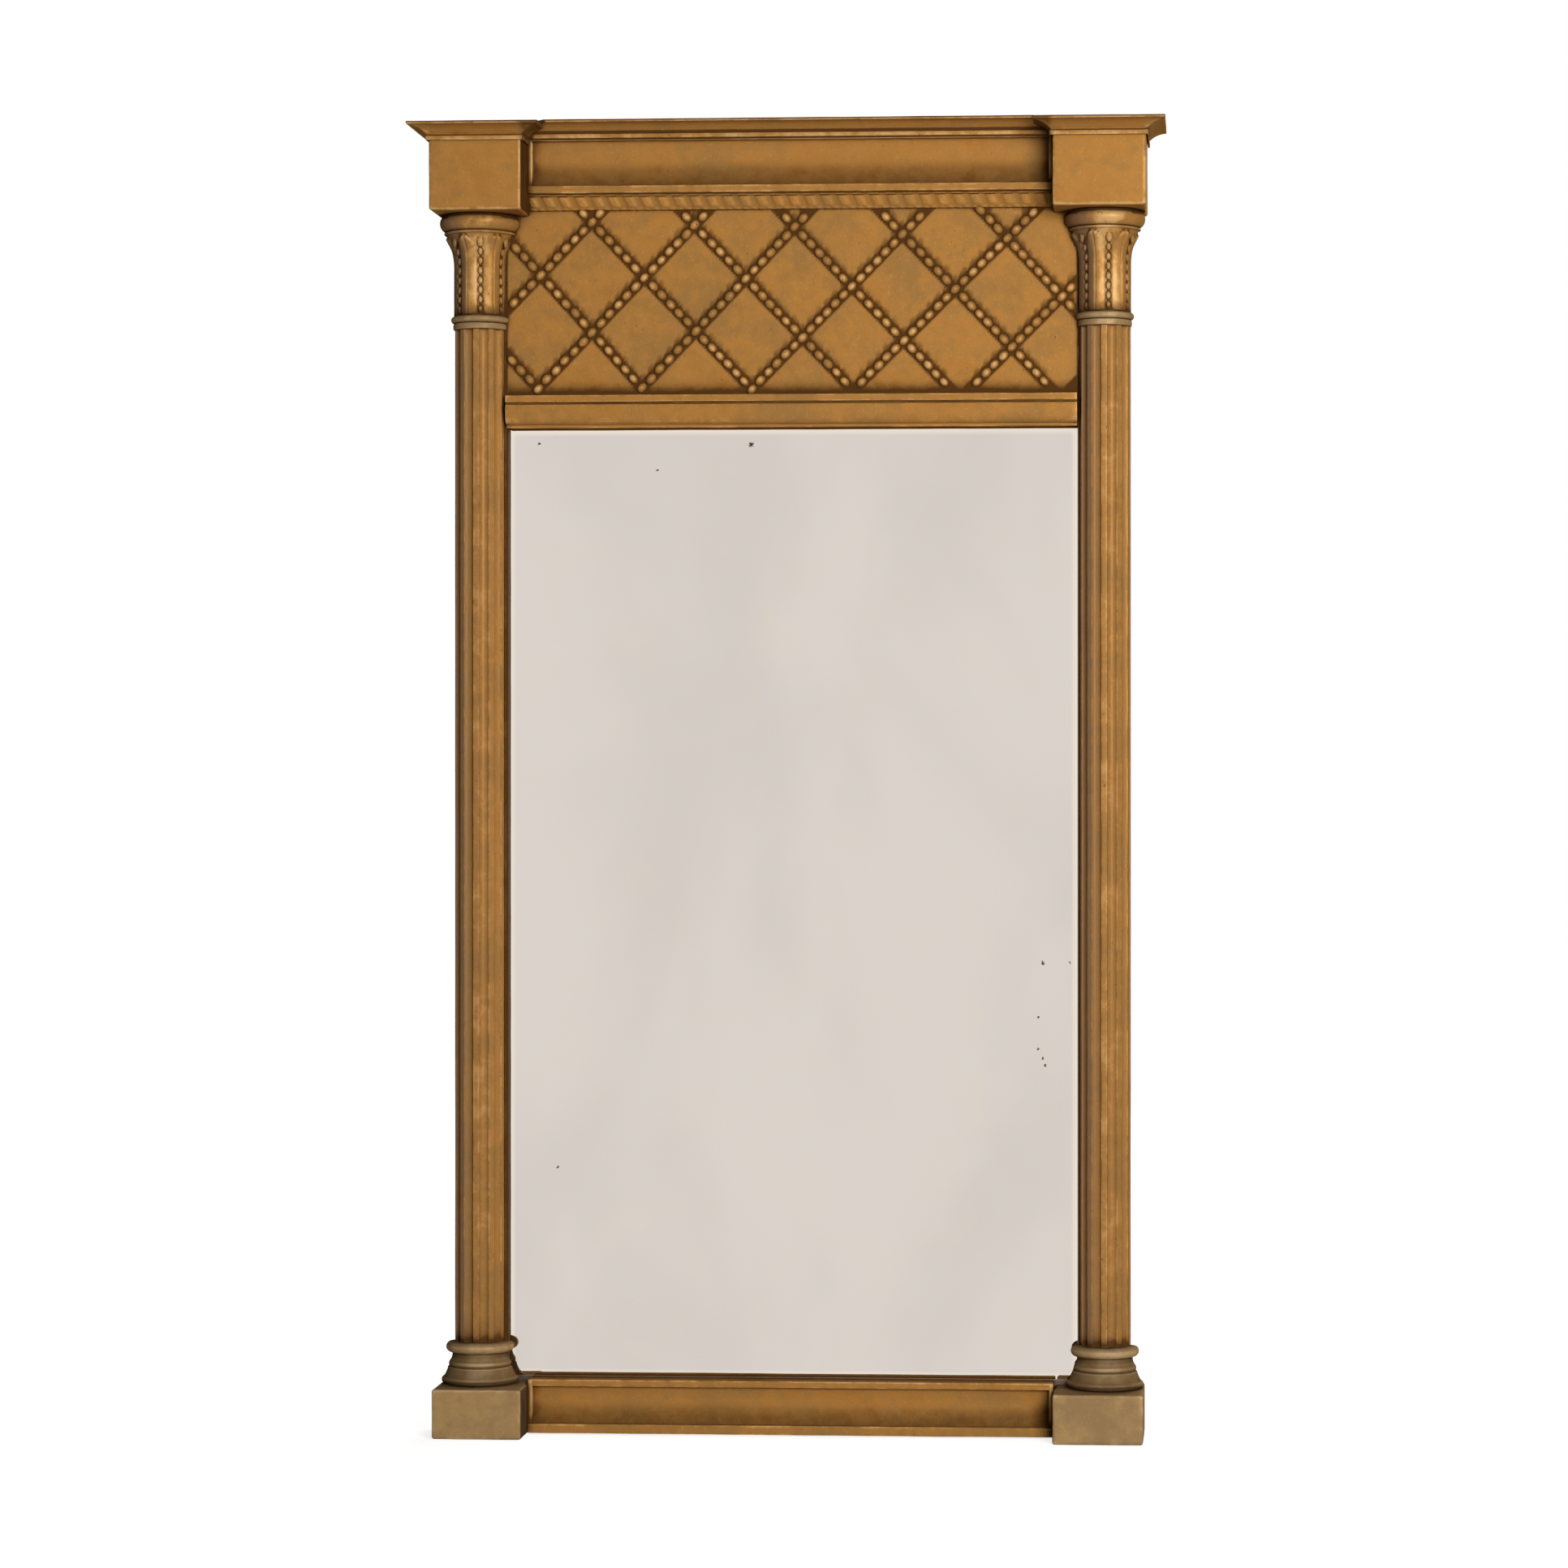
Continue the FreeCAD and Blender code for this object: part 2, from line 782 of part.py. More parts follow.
centre_strip = crown_strip(2 * block_inner, -1, -1)
save("crown_centre", placed(centre_strip, 0, -block_inner, -cornice_front, cove_top))
save_pair("crown_front", placed(crown_strip(block_width, 1, 1), 0, block_inner, -block_depth))
save_pair("crown_outer", placed(crown_strip(block_depth, 1, 0), 90, block_outer, -block_depth))
save_pair("crown_inner", placed(crown_strip(break_depth, -1, 1), -90, block_inner, -cornice_front))
top_board = span_box(-block_inner, block_inner, -cornice_front, 0, cove_top, cove_top + crown_height)
board_seat = span_box(-block_inner, block_inner, -panel_front, 0, top_rail_top, cove_top)
save("cornice_top_board", top_board.fuse(board_seat).removeSplitter())

# Hanging batten behind the frieze, with ring plates, rings and screws
batten_half_length = stile_inner - batten_end_play
batten_top = top_rail_underside - batten_drop
batten_underside = batten_top - batten_height
batten_back = rail_thickness - batten_thickness
hanger_x = stile_inner - hanger_inset
strap_back = batten_back - strap_thickness
knuckle_y = -strap_back + ring_strap_clearance + ring_wire_diameter / 2
knuckle_z = batten_top - strap_top_inset
knuckle_diameter = ring_wire_diameter + 2 * strap_thickness
strap_width = ring_inner_width - 2 * ring_side_play
lower_screw_drop = strap_length - lower_screw_margin
screw_heights = (knuckle_z - upper_screw_drop, knuckle_z - lower_screw_drop)


def screw(z, play):
    """A countersunk screw flush with the strap, or its hole when there is play around it."""
    sink = (screw_head_diameter - screw_shank_diameter) / 2
    head = Part.makeCone(
        screw_head_diameter / 2 + play,
        screw_shank_diameter / 2 + play,
        sink,
        Vector(hanger_x, -strap_back, z),
        Vector(0, -1, 0),
    )
    shank = depth_pin(
        screw_shank_diameter + 2 * play, hanger_x, z, -strap_back - screw_length - play, -strap_back
    )
    return head.fuse(shank).removeSplitter()


screws = [screw(z, 0) for z in screw_heights]
screw_holes = [screw(z, screw_clearance) for z in screw_heights]
all_screw_holes = screw_holes + [mirrored(hole) for hole in screw_holes]
batten = span_box(
    -batten_half_length,
    batten_half_length,
    -rail_thickness,
    -batten_back,
    batten_underside,
    batten_top,
)
save("hanging_batten", batten.cut(all_screw_holes))
save("hanger_screws", *screws, *[mirrored(piece) for piece in screws])


def cross_bar(diameter, length):
    """A round bar along X, centred on a hanger's pivot."""
    start = Vector(hanger_x - length / 2, knuckle_y, knuckle_z)
    return Part.makeCylinder(diameter / 2, length, start, Vector(1, 0, 0))


def hanger_plate():
    """The strap, rolled round the ring's bar at its top."""
    strap = span_box(
        hanger_x - strap_width / 2,
        hanger_x + strap_width / 2,
        -batten_back,
        -strap_back,
        knuckle_z - strap_length,
        knuckle_z,
    )
    knuckle = cross_bar(knuckle_diameter, strap_width)
    bore = cross_bar(ring_wire_diameter + 2 * ring_bearing_clearance, strap_width + 2 * cut_overrun)
    in_batten = span_box(
        hanger_x - strap_width,
        hanger_x + strap_width,
        -rail_thickness,
        -batten_back,
        batten_underside,
        batten_top,
    )
    return strap.fuse(knuckle).removeSplitter().cut([bore, in_batten] + screw_holes)


def hanger_ring():
    """A D-shaped ring that hangs from its bar: two arms and a half circle below."""
    wire = ring_wire_diameter / 2
    half_width = ring_inner_width / 2 + wire
    bar = cross_bar(ring_wire_diameter, 2 * half_width)
    pivot = Vector(hanger_x, knuckle_y, knuckle_z)
    bend_middle = pivot - Vector(0, 0, ring_arm_length)
    pieces = []
    for side in (-1, 1):
        corner = pivot + Vector(side * half_width, 0, 0)
        pieces.append(Part.makeSphere(wire, corner))
        pieces.append(Part.makeCylinder(wire, ring_arm_length, corner, Vector(0, 0, -1)))
    section = Part.Face(Part.Wire(Part.Circle(
        bend_middle + Vector(half_width, 0, 0), Vector(0, 0, 1), wire
    ).toShape()))
    pieces.append(section.revolve(bend_middle, Vector(0, 1, 0), 180))
    return bar.fuse(pieces).removeSplitter()


save_pair("hanger_plate", hanger_plate())
save_pair("hanger_ring", hanger_ring())
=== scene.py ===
# %% [markdown]
# # Dressing a giltwood mirror
#
# The real mirror is a pine frame faced with turned, moulded and carved wood. The joiner's work is brushed
# with gesso (chalk and glue), then with red clay called bole, and at last covered with gold leaf. Two
# centuries of dusting wear the leaf pale on every edge and leave brown dirt in every hollow. This lesson
# builds the wooden shapes around a fixed frame of joined parts, measures where hands reach and where dirt
# stays, paints shade and highlights into those measures as well, and lets the finishes read them.

# %% Load the fixed frame
import math
import random

import bmesh
import bpy
from mathutils import Matrix, Vector, noise
from mathutils.bvhtree import BVHTree


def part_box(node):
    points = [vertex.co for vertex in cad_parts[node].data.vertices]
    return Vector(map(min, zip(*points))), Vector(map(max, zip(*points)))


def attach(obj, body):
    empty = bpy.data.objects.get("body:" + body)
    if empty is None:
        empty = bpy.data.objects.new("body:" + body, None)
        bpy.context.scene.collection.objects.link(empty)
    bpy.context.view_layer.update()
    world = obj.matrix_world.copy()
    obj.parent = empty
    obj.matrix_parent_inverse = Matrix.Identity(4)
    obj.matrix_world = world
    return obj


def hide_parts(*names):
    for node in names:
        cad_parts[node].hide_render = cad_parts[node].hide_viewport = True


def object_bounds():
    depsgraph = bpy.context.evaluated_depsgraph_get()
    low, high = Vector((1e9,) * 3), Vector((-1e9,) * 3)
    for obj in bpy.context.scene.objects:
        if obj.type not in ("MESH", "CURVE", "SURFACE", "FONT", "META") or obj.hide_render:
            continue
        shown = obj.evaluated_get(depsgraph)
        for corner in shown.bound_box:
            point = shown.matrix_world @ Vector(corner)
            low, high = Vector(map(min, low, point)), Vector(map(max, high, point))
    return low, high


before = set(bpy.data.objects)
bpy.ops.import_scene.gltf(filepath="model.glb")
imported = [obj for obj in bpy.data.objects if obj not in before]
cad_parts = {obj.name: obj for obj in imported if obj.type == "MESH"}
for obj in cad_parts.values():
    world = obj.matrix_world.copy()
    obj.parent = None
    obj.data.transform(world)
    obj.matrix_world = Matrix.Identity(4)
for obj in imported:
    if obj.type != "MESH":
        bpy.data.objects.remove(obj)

frame_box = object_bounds()
MM = 0.001

# %% [markdown]
# ## Small helpers for node trees
#
# A finish in Blender is a tree of nodes. Each helper here adds a node or a few and joins their inputs, so
# that a finish below reads like a recipe: which texture, at what size, mixed into what.


# %% Node helpers
def add(tree, kind, inputs=None, **settings):
    """One node with its settings, its values and its links."""
    made = tree.nodes.new(kind)
    for setting, value in settings.items():
        setattr(made, setting, value)
    for socket, value in (inputs or {}).items():
        if isinstance(value, bpy.types.NodeSocket):
            tree.links.new(value, made.inputs[socket])
        else:
            made.inputs[socket].default_value = value
    return made


def math_node(tree, operation, first, second=0.0, clamp=False):
    """The result of a sum on two values."""
    made = add(tree, "ShaderNodeMath", {0: first, 1: second}, operation=operation, use_clamp=clamp)
    return made.outputs[0]


def plus(tree, first, second, clamp=False):
    """Two values added."""
    return math_node(tree, "ADD", first, second, clamp)


def minus(tree, first, second, clamp=False):
    """One value less another."""
    return math_node(tree, "SUBTRACT", first, second, clamp)


def times(tree, first, second):
    """Two values multiplied."""
    return math_node(tree, "MULTIPLY", first, second)


def weighed(tree, first, first_weight, second, second_weight):
    """Two values added, each with its own weight."""
    return plus(tree, times(tree, first, first_weight), times(tree, second, second_weight))


def largest(tree, first, *others):
    """The largest of several values."""
    most = first
    for other in others:
        most = math_node(tree, "MAXIMUM", most, other)
    return most


def blend(tree, share, first, second):
    """A colour between two colours."""
    return add(tree, "ShaderNodeMix", {0: share, 6: first, 7: second}, data_type="RGBA").outputs[2]


def ramp(tree, value, low, high, from_value=0.0, to_value=1.0):
    """A value that climbs smoothly between two limits."""
    limits = {"Value": value, "From Min": low, "From Max": high, "To Min": from_value, "To Max": to_value}
    return add(tree, "ShaderNodeMapRange", limits, interpolation_type="SMOOTHSTEP").outputs["Result"]


def grain(tree, place, size, detail, roughness, distortion=0.0):
    """Noise whose blotches are about as wide as size, in metres."""
    values = {
        "Vector": place,
        "Scale": 1 / size,
        "Detail": detail,
        "Roughness": roughness,
        "Distortion": distortion,
    }
    return add(tree, "ShaderNodeTexNoise", values).outputs["Fac"]


def stretched(tree, place, scale):
    """The same place with each axis scaled, so that a pattern runs long one way."""
    return add(tree, "ShaderNodeMapping", {"Vector": place, "Scale": scale}).outputs["Vector"]


def length_of(tree, arrow):
    """How long an arrow is."""
    return add(tree, "ShaderNodeVectorMath", {0: arrow}, operation="LENGTH").outputs["Value"]


def object_place(tree):
    """Where a point lies on the mirror, in metres."""
    return add(tree, "ShaderNodeTexCoord").outputs["Object"]


def linear(red, green, blue):
    """A colour as seen on a screen, out of 255, as the amount of light that shaders use."""
    light = []
    for level in (red, green, blue):
        share = level / 255
        light.append(share / 12.92 if share <= 0.04045 else ((share + 0.055) / 1.055) ** 2.4)
    return (*light, 1.0)


print("node helpers ready")

# %% [markdown]
# A group is a recipe that several finishes share. Its outputs have fixed names, so one function can join
# any group to the surface shader: colour, roughness, metal share, and a height for the bump.

# %% Groups and materials
COLOUR = "NodeSocketColor"
VALUE = "NodeSocketFloat"
PLACE = "NodeSocketVector"
SURFACE_SOCKETS = {"Color": "Base Color", "Roughness": "Roughness", "Metal": "Metallic"}


def new_group(name, inputs, outputs):
    """An empty shader group with named sockets."""
    tree = bpy.data.node_groups.new(name, "ShaderNodeTree")
    for in_out, sockets in (("INPUT", inputs), ("OUTPUT", outputs)):
        for label, kind in sockets.items():
            tree.interface.new_socket(label, in_out=in_out, socket_type=kind)
    taken = tree.nodes.new("NodeGroupInput")
    given = tree.nodes.new("NodeGroupOutput")
    return tree, taken.outputs, given.inputs


def give(tree, given, **values):
    """Joins values to the outputs of a group, by their names."""
    for label, value in values.items():
        tree.links.new(value, given[label])


def new_material(name):
    """An empty material with its surface shader."""
    material = bpy.data.materials.new(name)
    material.use_nodes = True
    tree = material.node_tree
    tree.nodes.clear()
    shader = tree.nodes.new("ShaderNodeBsdfPrincipled")
    add(tree, "ShaderNodeOutputMaterial", {"Surface": shader.outputs["BSDF"]})
    return material, tree, shader


def group_finish(name, group, values, bump_strength, bump_depth):
    """A material that shows a shared group with its own values. Gives back its group and shader too."""
    material, tree, shader = new_material(name)
    skin = add(tree, "ShaderNodeGroup", values, node_tree=group)
    relief = {"Height": skin.outputs["Height"], "Strength": bump_strength, "Distance": bump_depth}
    bump = add(tree, "ShaderNodeBump", relief)
    tree.links.new(bump.outputs["Normal"], shader.inputs["Normal"])
    for label, socket in SURFACE_SOCKETS.items():
        if label in skin.outputs:
            tree.links.new(skin.outputs[label], shader.inputs[socket])
    return material, skin, shader


print("a group can give", *SURFACE_SOCKETS, "and Height")

# %% [markdown]
# ## Gilding that has been handled and dusted
#
# Gold leaf on gesso isn't one colour. It is mottled where the leaves overlap, brown where dirt has
# settled, pale where dusters have thinned it, and red-brown in pin-head chips where the bole shows.
# Light and shade are painted in as well: brown painted shade in corners and on the flanks of the
# columns, grey-brown painted shade on their left sides, and pale painted highlights on their fronts and
# on the tops of beads. One shared group holds that story. It takes three measures from the piece: dirt
# and painted shade, worn leaf and painted highlight, and grey-brown painted shade. Two finishes use it:
# the bright gilding, and the dull retouched gilding of the feet.

# %% The shared gilding group
MEASURES = ("grime", "rub", "film")
LEAF_COLOURS = ("Leaf", "Deep leaf", "Thin leaf", "Left shade", "Dirt and shade", "Bole")
BROAD_SIZE = 45 * MM
MIDDLING_SIZE = 9 * MM
FINE_SIZE = 1.6 * MM
CHIP_SIZE = 2.4 * MM
CHIP_STRENGTH = 0.75
SHADE_AND_DIRT_STRENGTH = 0.88
GOLD_METAL = 0.09


def old_gilding_group():
    """Mottled leaf, pale leaf on the edges with painted highlights, chips down to the bole, grey-brown
    painted shade, and dirt with painted shade in the hollows.
    """
    inputs = {measure.capitalize(): VALUE for measure in MEASURES}
    inputs.update({label: COLOUR for label in LEAF_COLOURS})
    inputs["Dullness"] = VALUE
    outputs = {"Color": COLOUR, "Roughness": VALUE, "Metal": VALUE, "Height": VALUE}
    tree, taken, given = new_group("old_gilding", inputs, outputs)
    place = object_place(tree)
    broad = grain(tree, place, BROAD_SIZE, 4.0, 0.6)
    middling = grain(tree, place, MIDDLING_SIZE, 4.0, 0.6, 0.4)
    fine = grain(tree, place, FINE_SIZE, 3.0, 0.6)
    speck = grain(tree, stretched(tree, place, (1.0, 1.0, 0.8)), CHIP_SIZE, 2.0, 0.5)

    mottle = weighed(tree, broad, 0.6, middling, 0.4)
    leaf = blend(tree, ramp(tree, mottle, 0.36, 0.62), taken["Deep leaf"], taken["Leaf"])
    leaf = blend(tree, ramp(tree, fine, 0.54, 0.76, 0.0, 0.2), leaf, taken["Thin leaf"])

    # Worn leaf on edges, and pale painted highlights on the fronts of columns and on the tops of beads.
    patchy = times(tree, taken["Rub"], ramp(tree, broad, 0.38, 0.62, 0.35, 1.0))
    wear_and_sheen_share = plus(tree, patchy, ramp(tree, middling, 0.35, 0.7, -0.2, 0.16))
    leaf = blend(tree, ramp(tree, wear_and_sheen_share, 0.22, 0.9, 0.0, 0.75), leaf, taken["Thin leaf"])

    chips = ramp(tree, plus(tree, speck, times(tree, taken["Rub"], 0.05)), 0.735, 0.765)
    leaf = blend(tree, times(tree, chips, CHIP_STRENGTH), leaf, taken["Bole"])
    # Grey-brown painted shade on the left sides of the columns.
    left_shading = times(tree, taken["Film"], ramp(tree, middling, 0.25, 0.75, 1.15, 0.85))
    leaf = blend(tree, left_shading, leaf, taken["Left shade"])

    # Dirt, and painted shade in corners, beside the bead strands, on the column flanks and on sides that
    # face the plate.
    uneven = plus(tree, taken["Grime"], ramp(tree, middling, 0.3, 0.7, -0.07, 0.08))
    old_stains = times(tree, ramp(tree, broad, 0.5, 0.72), 0.16)
    dirt_and_shade_share = plus(tree, ramp(tree, uneven, 0.05, 0.92), old_stains, clamp=True)

    rough = plus(tree, taken["Dullness"], ramp(tree, middling, 0.3, 0.7, -0.06, 0.08))
    rough = plus(tree, rough, times(tree, dirt_and_shade_share, 0.3))
    clean_leaf = minus(tree, 1.0, plus(tree, dirt_and_shade_share, chips), clamp=True)
    give(
        tree,
        given,
        Color=blend(tree, times(tree, dirt_and_shade_share, SHADE_AND_DIRT_STRENGTH), leaf, taken["Dirt and shade"]),
        Roughness=minus(tree, rough, times(tree, taken["Rub"], 0.06), clamp=True),
        Metal=times(tree, clean_leaf, GOLD_METAL),
        Height=minus(tree, weighed(tree, middling, 0.6, fine, 0.25), times(tree, chips, 0.35)),
    )
    return tree


old_gilding = old_gilding_group()
print("group", old_gilding.name, "has", len(old_gilding.nodes), "nodes")

# %% The two gilt finishes
GILT_BUMP = (0.5, 0.35 * MM)


def gilt_finish(name, dullness, colours):
    """A gilt material: the shared group with its own colours and with the measures of its piece."""
    values = {label: linear(*colours[label]) for label in LEAF_COLOURS}
    values["Dullness"] = dullness
    material, skin, shader = group_finish(name, old_gilding, values, *GILT_BUMP)
    tree = material.node_tree
    for measure in MEASURES:
        stored = add(tree, "ShaderNodeAttribute", attribute_name=measure)
        tree.links.new(stored.outputs["Fac"], skin.inputs[measure.capitalize()])
    shader.inputs["Specular IOR Level"].default_value = 0.0
    shader.inputs["Specular Tint"].default_value = values["Thin leaf"]
    return material


# The grey-brown colour for the columns' left sides is painted shade; the darkest brown is dirt and painted
# shade.
BRIGHT_COLOURS = {
    "Leaf": (174, 121, 59),
    "Deep leaf": (152, 111, 60),
    "Thin leaf": (214, 172, 114),
    "Left shade": (130, 102, 74),
    "Dirt and shade": (66, 38, 14),
    "Bole": (120, 74, 42),
}
TONED_COLOURS = {
    "Leaf": (172, 138, 90),
    "Deep leaf": (148, 119, 82),
    "Thin leaf": (196, 166, 126),
    "Left shade": (124, 102, 77),
    "Dirt and shade": (64, 46, 28),
    "Bole": (158, 112, 60),
}
gilt = gilt_finish("gilt", 0.4, BRIGHT_COLOURS)
toned_gilt = gilt_finish("toned_gilt", 0.48, TONED_COLOURS)
GILT_SLOTS = {gilt.name: "gilt", toned_gilt.name: "gilt_toned"}
print("gilt finishes:", *GILT_SLOTS)

# %% [markdown]
# ## Bare pine
#
# The back, the top and the undersides never had gold. They show sawn softwood that two hundred years of
# air have turned brown. A saw cuts through the rings of a trunk, and on the board they look like the
# contour lines of a long hill. So the noise is stretched along the board and then folded by a sine, as a
# map draws its contours. Boards and rails run different ways, so the group takes the place already turned
# to the grain.

# %% The shared pine group
CONTOURS = 150.0
RING_STRETCH = (1.0, 1.0, 0.06)
PORE_STRETCH = (1.0, 1.0, 0.025)
SAW_MARKS = {"Scale": 120.0, "Distortion": 3.0, "Detail": 2.0, "Detail Scale": 0.4}


def bare_pine_group():
    """Growth rings, pores and the dust of age. The grain runs along Z of the place it is given."""
    inputs = {"Place": PLACE, "Early wood": COLOUR, "Late wood": COLOUR, "Grey": COLOUR}
    outputs = {"Color": COLOUR, "Roughness": VALUE, "Height": VALUE}
    tree, taken, given = new_group("bare_pine", inputs, outputs)
    place = taken["Place"]
    along = stretched(tree, place, RING_STRETCH)
    drift = grain(tree, along, 60 * MM, 2.0, 0.5)
    hill = times(tree, grain(tree, along, 95 * MM, 1.2, 0.35), CONTOURS)
    rings = math_node(tree, "POWER", ramp(tree, math_node(tree, "SINE", hill), -0.3, 1.0), 1.6)
    rings = times(tree, rings, ramp(tree, drift, 0.3, 0.7, 0.35, 0.9))
    pores = grain(tree, stretched(tree, place, PORE_STRETCH), 0.9 * MM, 3.0, 0.6)
    bands = {"Vector": place, **SAW_MARKS}
    saw = add(tree, "ShaderNodeTexWave", bands, wave_type="BANDS", bands_direction="Z").outputs["Fac"]
    dust = grain(tree, place, 30 * MM, 5.0, 0.65)

    wood = blend(tree, rings, taken["Early wood"], taken["Late wood"])
    wood = blend(tree, ramp(tree, pores, 0.45, 0.75, 0.0, 0.35), wood, taken["Late wood"])
    wood = blend(tree, ramp(tree, drift, 0.4, 0.7, 0.0, 0.35), wood, taken["Late wood"])
    give(
        tree,
        given,
        Color=blend(tree, ramp(tree, dust, 0.45, 0.8, 0.0, 0.5), wood, taken["Grey"]),
        Roughness=ramp(tree, pores, 0.3, 0.7, 0.72, 0.9),
        Height=minus(tree, weighed(tree, pores, 0.5, saw, 0.3), times(tree, rings, 0.3)),
    )
    return tree


bare_pine = bare_pine_group()
print("group", bare_pine.name, "has", len(bare_pine.nodes), "nodes")

# %% The pine finishes
PINE_BUMP = (0.6, 0.4 * MM)
UPRIGHT = (0.0, 0.0, 0.0)
ACROSS = (0.0, math.radians(90), 0.0)
BOARDS = (1, 2, 3)
BOARD_COLOURS = ((152, 112, 70), (100, 68, 40), (108, 92, 74))


def pine_finish(name, turn, early, late, grey, shift=0.0):
    """A pine material with its grain turned along its piece. The shift picks another part of the tree."""
    values = {"Early wood": linear(*early), "Late wood": linear(*late), "Grey": linear(*grey)}
    material, skin = group_finish(name, bare_pine, values, *PINE_BUMP)[:2]
    tree = material.node_tree
    setting = {"Vector": object_place(tree), "Rotation": turn, "Location": (0.0, shift, 0.0)}
    place = add(tree, "ShaderNodeMapping", setting).outputs["Vector"]
    tree.links.new(place, skin.inputs["Place"])
    return material


upright_pine = pine_finish("upright_pine", UPRIGHT, (168, 126, 82), (112, 76, 44), (118, 100, 80))
cross_pine = pine_finish("cross_pine", ACROSS, (160, 118, 76), (104, 70, 40), (112, 95, 76))
board_pines = {}
for number in BOARDS:
    board_pines[number] = pine_finish("board_pine_" + str(number), UPRIGHT, *BOARD_COLOURS, shift=number)
pines = [upright_pine, cross_pine, *board_pines.values()]
print("pine finishes:", *[finish.name for finish in pines])

# %% [markdown]
# ## Helpers for wooden shapes
#
# Most pieces are prisms: a flat outline pushed along one axis, which is what a plane or a saw leaves.
# Others are turned: an outline spun round the column's axis. After that each piece is treated alike. Its
# edges are softened, it is sliced finely enough to carry detail, and a little unevenness goes in, because
# nothing here was machined.

# %% Outlines and solids
TOUCHING = 0.001 * MM


def arc(start, through, end, pieces):
    """Points on the circle through three points, after the first of them."""
    (x1, y1), (x2, y2), (x3, y3) = start, through, end
    twice_area = 2 * (x1 * (y2 - y3) + x2 * (y3 - y1) + x3 * (y1 - y2))
    square1, square2, square3 = x1 * x1 + y1 * y1, x2 * x2 + y2 * y2, x3 * x3 + y3 * y3
    middle_x = (square1 * (y2 - y3) + square2 * (y3 - y1) + square3 * (y1 - y2)) / twice_area
    middle_y = (square1 * (x3 - x2) + square2 * (x1 - x3) + square3 * (x2 - x1)) / twice_area
    radius = math.hypot(x1 - middle_x, y1 - middle_y)
    first = math.atan2(y1 - middle_y, x1 - middle_x)
    sweep_by = (math.atan2(y3 - middle_y, x3 - middle_x) - first) % math.tau
    if (math.atan2(y2 - middle_y, x2 - middle_x) - first) % math.tau > sweep_by:
        sweep_by -= math.tau
    angles = [first + sweep_by * number / pieces for number in range(1, pieces + 1)]
    return [(middle_x + radius * math.cos(angle), middle_y + radius * math.sin(angle)) for angle in angles]


def outline(start, *steps, pieces):
    """An outline of corners and arcs. A step is a corner, or a pair: a point of an arc and its end."""
    points = [start]
    for step in steps:
        if isinstance(step[0], tuple):
            points += arc(points[-1], step[0], step[1], pieces)
        else:
            points.append(step)
    return points


def prism(points, axis, low, high):
    """A solid from a flat outline, pushed along an axis from low to high."""
    shape = bmesh.new()
    along = "xyz".index(axis)
    flat = [number for number in range(3) if number != along]
    corners = []
    for point in points:
        place = [low, low, low]
        place[flat[0]], place[flat[1]] = point
        corners.append(shape.verts.new(place))
    face = shape.faces.new(corners)
    pushed = bmesh.ops.extrude_face_region(shape, geom=[face])
    far_end = [part for part in pushed["geom"] if isinstance(part, bmesh.types.BMVert)]
    step = Vector((0, 0, 0))
    step[along] = high - low
    bmesh.ops.translate(shape, verts=far_end, vec=step)
    bmesh.ops.recalc_face_normals(shape, faces=shape.faces)
    return shape


def slab(low, high, axis):
    """A plain board between two corners, pushed along an axis."""
    along = "xyz".index(axis)
    first, second = [number for number in range(3) if number != along]
    points = [
        (low[first], low[second]),
        (high[first], low[second]),
        (high[first], high[second]),
        (low[first], high[second]),
    ]
    return prism(points, axis, low[along], high[along])


def turned(points, axis_x, axis_y, steps):
    """A solid spun round an upright axis. Points are pairs of radius and height."""
    shape = bmesh.new()
    row = [shape.verts.new((axis_x + radius, axis_y, height)) for radius, height in points]
    edges = [shape.edges.new(pair) for pair in zip(row, row[1:])]
    bmesh.ops.spin(
        shape,
        geom=row + edges,
        cent=(axis_x, axis_y, 0),
        axis=(0, 0, 1),
        angle=math.tau,
        steps=steps,
        use_merge=True,
    )
    bmesh.ops.remove_doubles(shape, verts=shape.verts, dist=TOUCHING)
    bmesh.ops.recalc_face_normals(shape, faces=shape.faces)
    return shape


print("outlines can be pushed or turned")

# %% Tools that work on a solid
SNAP = 0.01 * MM
SHARP = math.radians(28)


def cut_off(shape, point, outward):
    """Saws off what lies outside a plane, and closes the cut."""
    parts = shape.verts[:] + shape.edges[:] + shape.faces[:]
    cut = bmesh.ops.bisect_plane(
        shape, geom=parts, dist=TOUCHING, plane_co=point, plane_no=outward, clear_outer=True
    )
    rim = [part for part in cut["geom_cut"] if isinstance(part, bmesh.types.BMEdge)]
    bmesh.ops.holes_fill(shape, edges=rim)
    bmesh.ops.recalc_face_normals(shape, faces=shape.faces)


def soften(shape, radius, segments=2, wanted=None):
    """Rounds the sharp edges of a piece, or only the wanted ones."""
    sharp = [edge for edge in shape.edges if edge.is_manifold and edge.calc_face_angle() > SHARP]
    chosen = [edge for edge in sharp if wanted is None or wanted(edge)]
    bmesh.ops.bevel(
        shape,
        geom=chosen,
        offset=radius,
        offset_type="OFFSET",
        segments=segments,
        profile=0.5,
        affect="EDGES",
        material=-1,
        clamp_overlap=True,
    )


def slice_up(shape, spacing):
    """Cuts a piece into slices along each axis that has a spacing, so that it can carry fine detail."""
    for along, gap in enumerate(spacing):
        if not gap:
            continue
        places = [vert.co[along] for vert in shape.verts]
        low, high = min(places), max(places)
        count = max(1, round((high - low) / gap))
        direction = Vector((0, 0, 0))
        direction[along] = 1
        for number in range(1, count):
            point = direction * (low + (high - low) * number / count)
            parts = shape.verts[:] + shape.edges[:] + shape.faces[:]
            bmesh.ops.bisect_plane(shape, geom=parts, dist=SNAP, plane_co=point, plane_no=direction)


